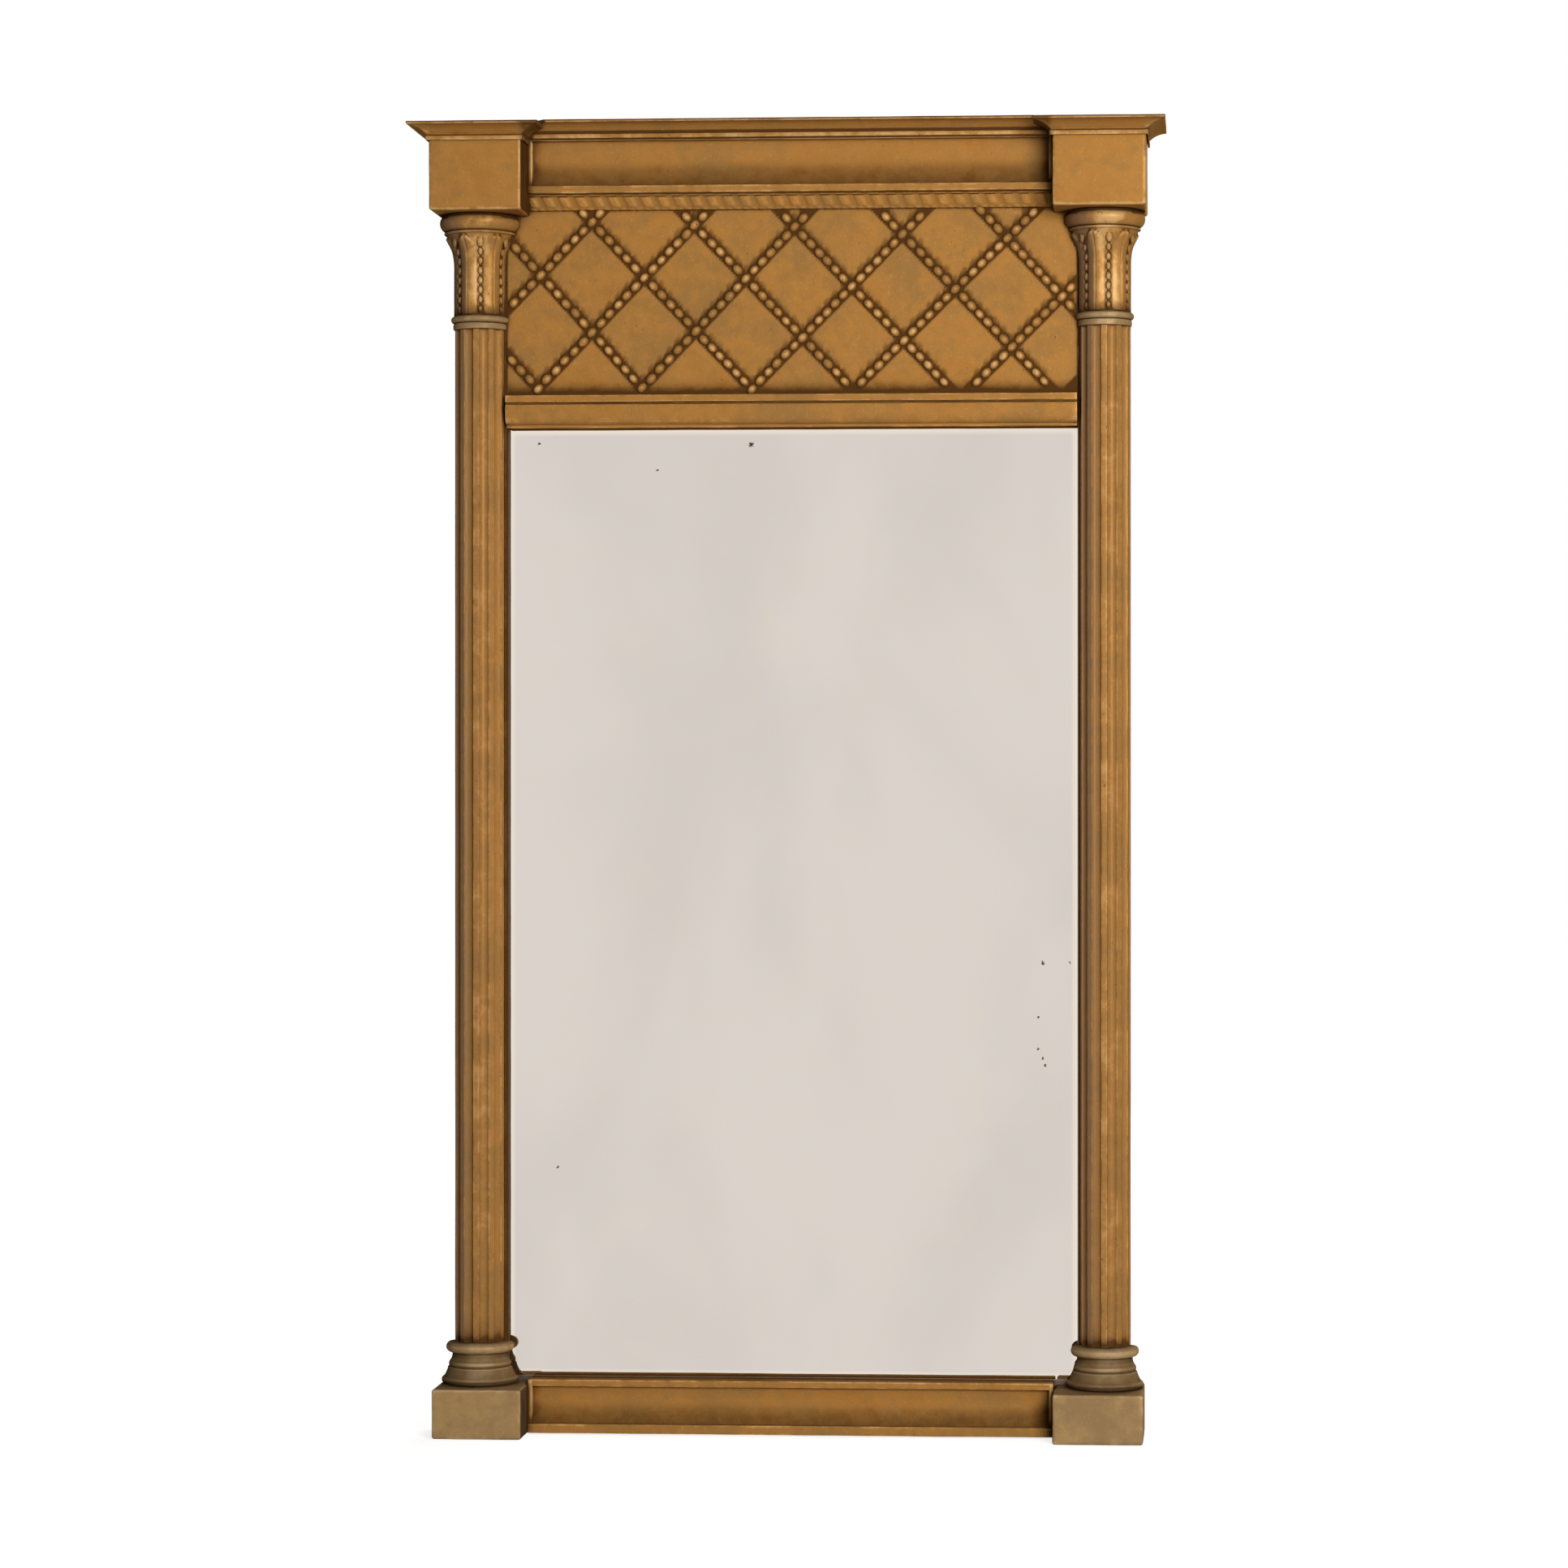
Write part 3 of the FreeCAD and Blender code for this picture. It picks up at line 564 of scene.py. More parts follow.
def unevenness(shape, amount, size):
    """Sinks the surface a little here and there, as a hand tool does."""
    shape.normal_update()
    moves = [(noise.noise(vert.co / size) + 1) / 2 * amount for vert in shape.verts]
    for vert, move in zip(shape.verts, moves):
        vert.co -= vert.normal * move


def joined(whole, *others):
    """One solid from several."""
    for other in others:
        scrap = bpy.data.meshes.new("scrap")
        other.to_mesh(scrap)
        other.free()
        whole.from_mesh(scrap)
        bpy.data.meshes.remove(scrap)
    return whole


def flipped(shape):
    """The same shape for the left side of the mirror."""
    bmesh.ops.scale(shape, verts=shape.verts, vec=(-1, 1, 1))
    bmesh.ops.reverse_faces(shape, faces=shape.faces)
    return shape


print("shape tools ready")

# %% [markdown]
# ## Where hands reach
#
# A duster thins the leaf on corners that stand out. A corner stands out where the faces around it fold
# away from each other, so the measure of worn leaf takes the mean angle of the edges that meet at each
# point. The finish reads it as an attribute, and painted highlights are added to it later. The measures of
# dirt and painted shade need all the pieces in place, so they are filled in near the end.

# %% Making a piece of the object
FRAME_BODY = "frame"
FULL_RUB = math.radians(16)
OWN_FOLD = 0.75
WELD = 0.002 * MM
SMOOTH_ANGLE = 40
FACING = 0.9
SKIN_DEPTH = 0.6 * MM
gilt_pieces = []


def measure_rub(shape):
    """How far each point stands out from its neighbours, from 0 to 1."""
    for measure in MEASURES:
        shape.verts.layers.float.new(measure)
    layer = shape.verts.layers.float["rub"]
    fold = []
    for vert in shape.verts:
        angles = [edge.calc_face_angle_signed(0.0) for edge in vert.link_edges]
        fold.append(max(0.0, sum(angles) / max(1, len(angles))) / FULL_RUB)
    for vert in shape.verts:
        near = [fold[edge.other_vert(vert).index] for edge in vert.link_edges]
        near_fold = sum(near) / max(1, len(near))
        vert[layer] = min(1.0, OWN_FOLD * fold[vert.index] + (1 - OWN_FOLD) * near_fold)


def new_piece(name, shape, materials, slot, *nodes, smooth_angle=SMOOTH_ANGLE):
    """Turns a solid into a piece that stands for nodes of the frame."""
    bmesh.ops.remove_doubles(shape, verts=shape.verts, dist=WELD)
    shape.normal_update()
    shape.verts.index_update()
    measure_rub(shape)
    mesh = bpy.data.meshes.new(name)
    shape.to_mesh(mesh)
    shape.free()
    for material in materials:
        mesh.materials.append(material)
    mesh.shade_smooth()
    mesh.set_sharp_from_angle(angle=math.radians(smooth_angle))
    piece = bpy.data.objects.new(name, mesh)
    bpy.context.scene.collection.objects.link(piece)
    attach(piece, FRAME_BODY)
    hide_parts(*nodes)
    print("made", name, "with", len(mesh.vertices), "points")
    return piece


def leave_bare(shape, back=None, top=None, foot=None):
    """Gives the faces at the back, top or foot, where one is named, the second material of the piece."""
    shape.normal_update()
    for face in shape.faces:
        middle = face.calc_center_median()
        at_back = back is not None and face.normal.y > FACING and middle.y > back - SKIN_DEPTH
        at_top = top is not None and face.normal.z > FACING and middle.z > top - SKIN_DEPTH
        at_foot = foot is not None and face.normal.z < -FACING and middle.z < foot + SKIN_DEPTH
        face.material_index = 1 if at_back or at_top or at_foot else 0


def gilt_piece(name, shape, finish, *nodes, smooth_angle=SMOOTH_ANGLE):
    """A gilt piece, with bare pine on the faces that leave_bare chose."""
    slot = GILT_SLOTS[finish.name]
    piece = new_piece(name, shape, [finish, upright_pine], slot, *nodes, smooth_angle=smooth_angle)
    gilt_pieces.append(piece)
    return piece


def both_sides(stem, finish, node_stem, right, left):
    """The right and the left piece of one kind. Both shapes come as right ones, and one is flipped."""
    made = []
    for side, shape in (("right", right), ("left", flipped(left))):
        made.append(gilt_piece(stem + side + "_gilt", shape, finish, node_stem + side))
    return made


print("pieces ride on", FRAME_BODY)

# %% [markdown]
# ## Corner blocks and plinths
#
# The blocks under the cornice and the plinths under the columns are plain cubes of wood. They are seen
# from above as a U, because each is cut out behind to sit over the stile. Their edges are rounded by
# gesso and by knocks, so every edge but those at the wall gets a bevel of several segments.

# %% Blocks and plinths
block_low, block_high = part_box("corner_block_right")
plinth_low, plinth_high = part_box("plinth_block_right")
stile_low, stile_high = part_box("carcass_stile_right")
slip_low, slip_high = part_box("sight_slip_right")
rail_low, rail_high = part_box("carcass_top_rail")
BLOCK_EASE = 2 * MM
BLOCK_GRID = (3.2 * MM, 3.2 * MM, 3.2 * MM)
BLOCK_WAVES = (0.35 * MM, 22 * MM)
SLOT_ROOM = 0.5 * MM
LONG_EDGE = 20 * MM


def plan_of(low, high, inner_back):
    """A block seen from above, cut out behind for the stile and for what lies inside it."""
    return [
        (low.x, low.y),
        (high.x, low.y),
        (high.x, 0),
        (stile_high.x, 0),
        (stile_high.x, stile_low.y),
        (stile_low.x, stile_low.y),
        (stile_low.x, inner_back),
        (low.x, inner_back),
    ]


def away_from_wall(edge):
    """True for an edge on the outside of a block."""
    places = [vert.co for vert in edge.verts]
    in_slot = all(
        stile_low.x - SLOT_ROOM < place.x < stile_high.x + SLOT_ROOM and place.y > slip_low.y - MM
        for place in places
    )
    before_slot = max(place.y for place in places) < slip_low.y
    long_return = min(place.y for place in places) < -MM and edge.calc_length() > LONG_EDGE
    return before_slot or (long_return and not in_slot)


def eased_block(low, high, inner_back):
    """A block with rounded edges and slightly uneven faces."""
    shape = prism(plan_of(low, high, inner_back), "z", low.z, high.z)
    soften(shape, BLOCK_EASE, 3, away_from_wall)
    slice_up(shape, BLOCK_GRID)
    unevenness(shape, *BLOCK_WAVES)
    return shape


def corner_block():
    """A block and the filler over the top rail, bare at the wall and on top."""
    shape = eased_block(block_low, block_high, slip_low.y)
    low = Vector((block_low.x, slip_low.y, rail_high.z))
    high = Vector((stile_low.x, 0, block_high.z))
    filler = bmesh.ops.create_cube(shape, size=1)["verts"]
    bmesh.ops.scale(shape, verts=filler, vec=high - low)
    bmesh.ops.translate(shape, verts=filler, vec=(low + high) / 2)
    leave_bare(shape, back=0, top=block_high.z)
    return shape


def plinth():
    """A plinth, bare at the wall and below."""
    shape = eased_block(plinth_low, plinth_high, rail_low.y)
    leave_bare(shape, back=0, foot=plinth_low.z)
    return shape


cubes = both_sides("corner_block_", gilt, "corner_block_", corner_block(), corner_block())
cubes += both_sides("plinth_", toned_gilt, "plinth_block_", plinth(), plinth())

# %% [markdown]
# ## Mouldings across the mirror
#
# The cornice's hollow, the rail above the plate and the bottom rail were planed as long strips. Each
# outline here is drawn in depth and height, with the hollows as arcs, and then pushed along X. Its points
# are given in millimetres, back from the front and up from the foot or down from the top. The edges of a
# moulding are where the gold goes first, so they are softened and given a row of points of their own.

# %% Planing a moulding
EDGE_EASE = 0.7 * MM
RUN = 5 * MM
FINE_ROWS = 1.6 * MM
PLANED = (0.3 * MM, 30 * MM)
END_STRIP = 3.2 * MM
END_STRIP_EASE = 0.8 * MM
END_STRIP_ROWS = 3 * MM
END_STRIP_SHORT = 0.3 * MM


def moulding(points, low, high):
    """A strip along X with soft edges and fine slices."""
    shape = prism(points, "x", low.x, high.x)
    soften(shape, EDGE_EASE)
    slice_up(shape, (RUN, 0, FINE_ROWS))
    unevenness(shape, *PLANED)
    return shape


def end_strip(low, high, front, start):
    """The narrow upright strip that closes a hollow moulding at one end."""
    foot = (start, front, low.z + END_STRIP_SHORT)
    head = (start + END_STRIP, high.y, high.z - END_STRIP_SHORT)
    shape = slab(foot, head, "z")
    soften(shape, END_STRIP_EASE)
    slice_up(shape, (0, 0, END_STRIP_ROWS))
    return shape


def hollow_moulding(points, low, high, set_back):
    """A hollow moulding between two end strips that are set back from its front."""
    starts = (low.x, high.x - END_STRIP)
    ends = [end_strip(low, high, low.y + set_back, start) for start in starts]
    return joined(moulding(points, low, high), *ends)


def ways_to_point(low, high):
    """Two ways to name a point of an outline: up from the foot, and down from the top."""

    def up_from_foot(back, up):
        return low.y + back * MM, low.z + up * MM

    def down_from_top(back, down):
        return low.y + back * MM, high.z - down * MM

    return up_from_foot, down_from_top


print("mouldings have a row of points every", RUN / MM, "mm")

# %% The hollow of the cornice
cove_low, cove_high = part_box("cove_moulding")
COVE_STRIP_BACK = 1.2 * MM
up_from, down_from = ways_to_point(cove_low, cove_high)
cove_points = outline(
    (cove_high.y, cove_low.z),
    up_from(0, 0),
    up_from(0, 5.5),
    up_from(1.5, 5.5),
    (up_from(6.5, 14.5), down_from(7, 1.4)),
    down_from(1, 1.4),
    down_from(1, 0),
    (cove_high.y, cove_high.z),
    pieces=12,
)
cove = hollow_moulding(cove_points, cove_low, cove_high, COVE_STRIP_BACK)
gilt_piece("cornice_hollow_gilt", cove, gilt, "cove_moulding")

# %% The rail above the plate
mid_low, mid_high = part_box("mid_rail_moulding")
up_from, down_from = ways_to_point(mid_low, mid_high)
mid_points = outline(
    (mid_high.y, mid_low.z),
    up_from(6, 0),
    up_from(6, 2),
    (up_from(2.4, 3.6), up_from(0.5, 7.5)),
    (up_from(0.1, 12), down_from(0.5, 6.5)),
    down_from(1.1, 6.3),
    down_from(1.1, 5.2),
    down_from(0, 5),
    down_from(0, 0),
    (mid_high.y, mid_high.z),
    pieces=6,
)
gilt_piece("mid_rail_gilt", moulding(mid_points, mid_low, mid_high), gilt, "mid_rail_moulding")

# %% The bottom rail
foot_low, foot_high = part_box("bottom_rail_moulding")
FOOT_STRIP_BACK = 2 * MM
up_from, down_from = ways_to_point(foot_low, foot_high)
foot_points = outline(
    (foot_high.y, foot_low.z),
    up_from(0, 0),
    up_from(0, 7),
    up_from(2, 7),
    (up_from(7, 17), down_from(6, 5)),
    down_from(2, 5),
    down_from(2, 0),
    (foot_high.y, foot_high.z),
    pieces=12,
)
bottom_rail = hollow_moulding(foot_points, foot_low, foot_high, FOOT_STRIP_BACK)
gilt_piece("bottom_rail_gilt", bottom_rail, gilt, "bottom_rail_moulding")

# %% [markdown]
# ## The crown, mitred round the blocks
#
# The top moulding runs along the middle, turns forward beside each block, goes round it and returns to
# the wall. A joiner cuts each strip over-long and saws the mitres at 45 degrees. The script does the
# same: it pushes one outline too far both ways, and cuts it off with two slanted planes. The glue has
# shrunk, so each mitre stays open by a hair.

# %% Crown strips
crown_low, crown_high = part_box("crown_centre")
front_low, front_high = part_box("crown_front_right")
CROWN_REACH = block_low.y - front_low.y
CROWN_TALL = crown_high.z - crown_low.z
CROWN_LIP = 2 * MM
CROWN_EASE = 0.5 * MM
CROWN_WAVES = (0.25 * MM, 26 * MM)
MITRE_GAP = 0.35 * MM
CENTRE_FILLET = 3.2 * MM
BLOCK_FILLET = 1.7 * MM
centre_seat = crown_low.y + CROWN_REACH


def crown_strip(length, start_mitre, end_mitre, fillet):
    """A strip along X that leans out to the viewer. A mitre is 1 outside a corner, -1 inside it, or 0."""
    spare = 2 * CROWN_REACH
    points = outline(
        (0, 0),
        (-fillet, 0),
        (-fillet, 3.0 * MM),
        (-0.6 * fillet, 3.4 * MM),
        (-0.6 * fillet, 4.3 * MM),
        ((-6.4 * MM, 8.3 * MM), (-CROWN_REACH, CROWN_TALL - CROWN_LIP)),
        (-CROWN_REACH, CROWN_TALL),
        (0, CROWN_TALL),
        pieces=8,
    )
    shape = prism(points, "x", -spare, length + spare)
    soften(shape, CROWN_EASE)
    start = Vector((-1, start_mitre, 0)).normalized()
    end = Vector((1, end_mitre, 0)).normalized()
    cut_off(shape, -start * (MITRE_GAP if start_mitre else 0), start)
    cut_off(shape, Vector((length, 0, 0)) - end * (MITRE_GAP if end_mitre else 0), end)
    slice_up(shape, (RUN, 0, 0))
    unevenness(shape, *CROWN_WAVES)
    return shape


def placed(shape, turn, x, y, z):
    """A crown strip turned about Z and set with its seat at a point. Its top is left bare."""
    matrix = Matrix.Rotation(math.radians(turn), 3, "Z")
    bmesh.ops.rotate(shape, verts=shape.verts, cent=(0, 0, 0), matrix=matrix)
    bmesh.ops.translate(shape, verts=shape.verts, vec=(x, y, z))
    leave_bare(shape, top=z + CROWN_TALL)
    return shape


def block_crown(length, start_mitre, end_mitre, turn, run_x, run_y):
    """A strip of the crown round the right-hand block."""
    strip = crown_strip(length, start_mitre, end_mitre, BLOCK_FILLET)
    return placed(strip, turn, run_x, run_y, front_low.z)


centre = crown_strip(2 * block_low.x, -1, -1, CENTRE_FILLET)
centre = placed(centre, 0, -block_low.x, centre_seat, crown_low.z)
crowns = [gilt_piece("crown_centre_gilt", centre, gilt, "crown_centre")]
# Each run: its length, its two mitres, its turn in degrees, and where its seat begins.
crown_runs = {
    "front": (block_high.x - block_low.x, 1, 1, 0, block_low.x, block_low.y),
    "outer": (-block_low.y, 1, 0, 90, block_high.x, block_low.y),
    "inner": (centre_seat - block_low.y, -1, 1, -90, block_low.x, centre_seat),
}
for run, setting in crown_runs.items():
    stem = "crown_" + run + "_"
    crowns += both_sides(stem, gilt, stem, block_crown(*setting), block_crown(*setting))

# %% [markdown]
# ## Fluted shafts
#
# A column is turned round, and then hollow flutes are ploughed down it, leaving flat fillets between
# them. The mesh begins as a cylinder. Its rows of points are gathered where the detail is: close together
# across each flute and at the ends, where the flutes stop in a round, and far apart along the plain
# middle. Each point is then drawn in to the flute's own circle. The foot of the shaft stands in a shallow
# socket of its base.

# %% Shafts
shaft_low, shaft_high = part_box("column_shaft_right")
column_x = (shaft_low.x + shaft_high.x) / 2
SHAFT_RADIUS = (shaft_high.x - shaft_low.x) / 2
column_y = shaft_low.y + SHAFT_RADIUS
FLUTES = 10
FLUTE_PITCH = math.tau / FLUTES
FLUTE_DEPTH = 2.4 * MM
FLUTE_RADIUS = 4.2 * MM
FLUTE_STOP = -2.6 * MM
SHAFT_SINK = 4.3 * MM
SHAFT_FOOT = shaft_low.z - SHAFT_SINK
SHAFT_LENGTH = shaft_high.z - SHAFT_FOOT
SHAFT_WAVES = (0.3 * MM, 60 * MM)
ROUND_STEPS = 20
FILLET_STEPS = 6
END_ROWS = 12
MIDDLE_ROWS = 60
SHAFT_ROWS = 2 * END_ROWS + MIDDLE_ROWS
END_REACH = 9 * MM
FLUTE_MIDDLE = SHAFT_RADIUS - FLUTE_DEPTH + FLUTE_RADIUS
FLUTE_EDGE = math.acos(
    (SHAFT_RADIUS**2 + FLUTE_MIDDLE**2 - FLUTE_RADIUS**2) / (2 * SHAFT_RADIUS * FLUTE_MIDDLE)
)


def shaft_angle(step):
    """The angle of a row of points. The first row is the middle of the front fillet."""
    flute, within = divmod(step + FILLET_STEPS / 2, ROUND_STEPS)
    fillet = FLUTE_PITCH - 2 * FLUTE_EDGE
    if within <= FILLET_STEPS:
        return flute * FLUTE_PITCH - fillet / 2 + fillet * within / FILLET_STEPS
    across = (within - FILLET_STEPS) / (ROUND_STEPS - FILLET_STEPS)
    return flute * FLUTE_PITCH + fillet / 2 + 2 * FLUTE_EDGE * across


def shaft_height(row):
    """The height of a ring of points: dense at both ends."""
    if row <= END_ROWS:
        return END_REACH * row / END_ROWS
    if row >= SHAFT_ROWS - END_ROWS:
        return SHAFT_LENGTH - END_REACH * (SHAFT_ROWS - row) / END_ROWS
    return END_REACH + (SHAFT_LENGTH - 2 * END_REACH) * (row - END_ROWS) / MIDDLE_ROWS


def flute_radius_at(angle, height):
    """How far from the axis the surface lies, inside a flute or on a fillet."""
    off = (angle % FLUTE_PITCH) - FLUTE_PITCH / 2
    stop = FLUTE_STOP + FLUTE_RADIUS
    past = max(0.0, stop - height, height - (SHAFT_LENGTH - stop))
    inside = FLUTE_RADIUS**2 - past**2 - (FLUTE_MIDDLE * math.sin(off)) ** 2
    if past > FLUTE_RADIUS or inside <= 0:
        return SHAFT_RADIUS
    return min(SHAFT_RADIUS, FLUTE_MIDDLE * math.cos(off) - math.sqrt(inside))


def flat_behind(shape):
    """Saws a column piece flat where it is glued to the stile."""
    cut_off(shape, (0, stile_low.y, 0), (0, 1, 0))


def shaft():
    """The fluted shaft of the right-hand column."""
    steps = FLUTES * ROUND_STEPS
    shape = bmesh.new()
    bmesh.ops.create_cone(
        shape,
        cap_ends=True,
        segments=steps,
        radius1=SHAFT_RADIUS,
        radius2=SHAFT_RADIUS,
        depth=float(SHAFT_ROWS),
    )
    rise = SHAFT_ROWS / 2
    upright = [edge for edge in shape.edges if abs(edge.verts[0].co.z - edge.verts[1].co.z) > rise]
    bmesh.ops.subdivide_edges(shape, edges=upright, cuts=SHAFT_ROWS - 1, use_grid_fill=True)
    for vert in shape.verts:
        step = (math.atan2(vert.co.x, -vert.co.y) / math.tau * steps) % steps
        angle = shaft_angle(round(step))
        height = shaft_height(round(vert.co.z + rise))
        radius = flute_radius_at(angle, height)
        vert.co = (
            column_x + radius * math.sin(angle),
            column_y - radius * math.cos(angle),
            SHAFT_FOOT + height,
        )
    bmesh.ops.recalc_face_normals(shape, faces=shape.faces)
    unevenness(shape, *SHAFT_WAVES)
    flat_behind(shape)
    return shape


shafts = both_sides("column_shaft_", gilt, "column_shaft_", shaft(), shaft())

# %% [markdown]
# ## Turned bases and necking rings
#
# Rings, hollows and rounds are what a lathe makes. The outline is a short list of radii and heights with
# arcs for the rounds, spun once round the column's axis. The back is sawn flat, because a half round is
# all that shows.

# %% Bases and necking rings
base_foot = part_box("column_base_right")[0].z
neck_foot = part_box("necking_ring_right")[0].z
TURN_STEPS = 112
LATHE_EASE = 0.3 * MM
LATHE_WAVES = (0.2 * MM, 14 * MM)
# Radii and heights in millimetres: torus, hollow flare, fillet, small round, waist and the shaft's ring.
BASE_STEPS = (
    (0, 0),
    (26.2, 0),
    ((27.5, 2.3), (26.6, 4.4)),
    (25.7, 4.8),
    ((24.2, 7.6), (23.1, 10.4)),
    (23.0, 11.5),
    (21.9, 11.8),
    ((22.3, 14.0), (21.1, 16.3)),
    ((20.2, 18.4), (19.8, 21.4)),
    (21.4, 22.0),
    ((24.3, 25.6), (21.8, 29.3)),
    (19.4, 29.7),
    (0, 29.7),
)
# The fillet and the astragal under the capital.
NECK_STEPS = (
    (0, 0),
    (19.0, 0),
    ((19.3, 2.2), (19.0, 4.2)),
    (18.4, 4.5),
    ((20.8, 7.2), (18.6, 9.7)),
    (18.0, 10.0),
    (0, 10.0),
)


def lathe(steps, foot):
    """A turned piece of the column, from radii and heights in millimetres above its foot."""

    def place(step):
        if isinstance(step[0], tuple):
            return tuple(place(inner) for inner in step)
        return step[0] * MM, foot + step[1] * MM

    points = outline(*[place(step) for step in steps], pieces=8)
    shape = turned(points, column_x, column_y, TURN_STEPS)
    soften(shape, LATHE_EASE, 1)
    flat_behind(shape)
    unevenness(shape, *LATHE_WAVES)
    return shape


def column_base():
    """The base that a shaft stands in."""
    return lathe(BASE_STEPS, base_foot)


def necking():
    """The ring between a shaft and its capital."""
    return lathe(NECK_STEPS, neck_foot)


bases = both_sides("column_base_", toned_gilt, "column_base_", column_base(), column_base())
bases += both_sides("necking_", toned_gilt, "necking_ring_", necking(), necking())

# %% [markdown]
# ## Capitals with stiff leaves
#
# Six upright leaves stand round the bell. Each has two plain blades beside a dark vein, and its tip curls
# out under the torus. A string of beads fills the channel between two leaves. The leaves are a relief:
# the bell is spun with many points, and each point is moved out or in by where it lies on its leaf. The
# beads are small domes, set on afterwards.

# %% Beads
BEAD_ROUND = 10
BEAD_RINGS = 6
UPWARD = Vector((0, 0, 1))
bead_dice = random.Random(17)


def add_bead(shape, middle, outward, along, width, length, depth):
    """A dome on a surface, long along its string and standing out by its depth."""
    ball = bmesh.ops.create_uvsphere(
        shape, u_segments=BEAD_ROUND, v_segments=BEAD_RINGS, radius=1.0
    )["verts"]
    turn = Matrix((along.cross(outward), along, outward)).transposed().to_4x4()
    behind = [vert for vert in ball if vert.co.z < -0.05]
    bmesh.ops.delete(shape, geom=behind, context="VERTS")
    dome = [vert for vert in ball if vert.is_valid]
    rim = [edge for vert in dome for edge in vert.link_edges if edge.is_boundary]
    bmesh.ops.holes_fill(shape, edges=list(set(rim)))
    size = Matrix.Diagonal((width / 2, length / 2, depth, 1))
    bmesh.ops.transform(shape, verts=dome, matrix=Matrix.Translation(middle) @ turn @ size)


print("a bead has", BEAD_ROUND * BEAD_RINGS // 2, "faces and a flat back")

# %% The bell and its leaves
capital_low, capital_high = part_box("capital_right")
LEAVES = 6
LEAF_PITCH = math.tau / LEAVES
LEAF_STEPS = 36
BELL_ROWS = 44
TORUS_TALL = 11.5 * MM
RING_TALL = 2.2 * MM
LEAF_TALL = capital_high.z - capital_low.z - TORUS_TALL - RING_TALL
LEAF_RELIEF = 1.2 * MM
BELL_RADIUS = 16.8 * MM
BELL_SPREAD = 7.0 * MM
BELL_FLARE = 24 * MM
BELL_CURVE = 2.4
FACET = 0.8
FACET_MEAN = 0.907


def smooth_step(value, low, high):
    """Climbs from 0 to 1 between two limits."""
    share = min(1.0, max(0.0, (value - low) / (high - low)))
    return share * share * (3 - 2 * share)


def bell_radius(height):
    """The plain bell without its leaves."""
    flare = max(0.0, height - (LEAF_TALL - BELL_FLARE)) / BELL_FLARE
    return BELL_RADIUS + BELL_SPREAD * flare**BELL_CURVE


def bell_and_torus():
    """The outline of a capital: the bell, a thin ring and the torus."""
    foot = capital_low.z
    heights = [LEAF_TALL * number / BELL_ROWS for number in range(BELL_ROWS + 1)]
    bell = [(bell_radius(height), foot + height) for height in heights]
    ring_foot = foot + LEAF_TALL
    torus_foot = ring_foot + RING_TALL
    flare_end = bell[-1][0]
    head = outline(
        (flare_end + 0.9 * MM, ring_foot),
        ((flare_end + 1.8 * MM, ring_foot + RING_TALL / 2), (flare_end + 0.7 * MM, torus_foot)),
        ((28.7 * MM, torus_foot + 7 * MM), (26.2 * MM, capital_high.z)),
        (0, capital_high.z),
        pieces=9,
    )
    return [(0, foot)] + bell + head


def leaf_relief(across, up):
    """How far a leaf stands out. Across runs from -1 to 1, with the vein at 0, and up from 0 to 1."""
    off = abs(across)
    blade = smooth_step(off, 0.01, 0.08) * (1 - smooth_step(off, 0.7, 0.8))
    crown = 1 - 0.3 * ((off - 0.4) / 0.38) ** 2
    edge = 1 - 0.2 * (off / 0.8) ** 2
    curl = 1.2 * smooth_step(up, 0.76, 0.96) * (1 - smooth_step(off, 0.25, 0.7))
    end = 1 - smooth_step(up, edge - 0.05, edge)
    return LEAF_RELIEF * end * (blade * crown + curl)


def facet(across, up):
    """How far the bell swells or sinks, as a share of its radius, to be six-sided with veined corners."""
    off = (1 - abs(across)) * math.pi / LEAVES
    flat = math.cos(math.pi / LEAVES) / math.cos(off) / FACET_MEAN
    return FACET * (1 - smooth_step(up, 0.7, 1.0)) * (flat - 1)


def carve_leaves(shape, leaf_turn):
    """Moves each point of the bell out or in by where it lies on its leaf."""
    for vert in shape.verts:
        out = Vector((vert.co.x - column_x, vert.co.y - column_y, 0))
        height = vert.co.z - capital_low.z
        if height > LEAF_TALL + SNAP or out.length < MM:
            continue
        angle = math.atan2(out.x, -out.y) - leaf_turn
        across = ((angle + LEAF_PITCH / 2) % LEAF_PITCH) / LEAF_PITCH * 2 - 1
        up = height / LEAF_TALL
        vert.co += out * facet(across, up) + out.normalized() * leaf_relief(across, up)
    bmesh.ops.recalc_face_normals(shape, faces=shape.faces)


print("a leaf is", round(LEAF_TALL / MM, 1), "mm tall")

# %% Capitals
LEAF_TURN = math.radians(-20)
CARVED_WAVES = (0.15 * MM, 6 * MM)
CHANNEL_RADIUS = 18 * MM
STRING_BEADS = 8
STRING_FOOT = 3.6 * MM
STRING_PITCH = 6.9 * MM
STRING_WIDTH = 3.5 * MM
STRING_LENGTH = 6.2 * MM
STRING_DEPTH = 1.9 * MM
STRING_SINK = 0.1 * MM
TOP_SWELL = 1.45


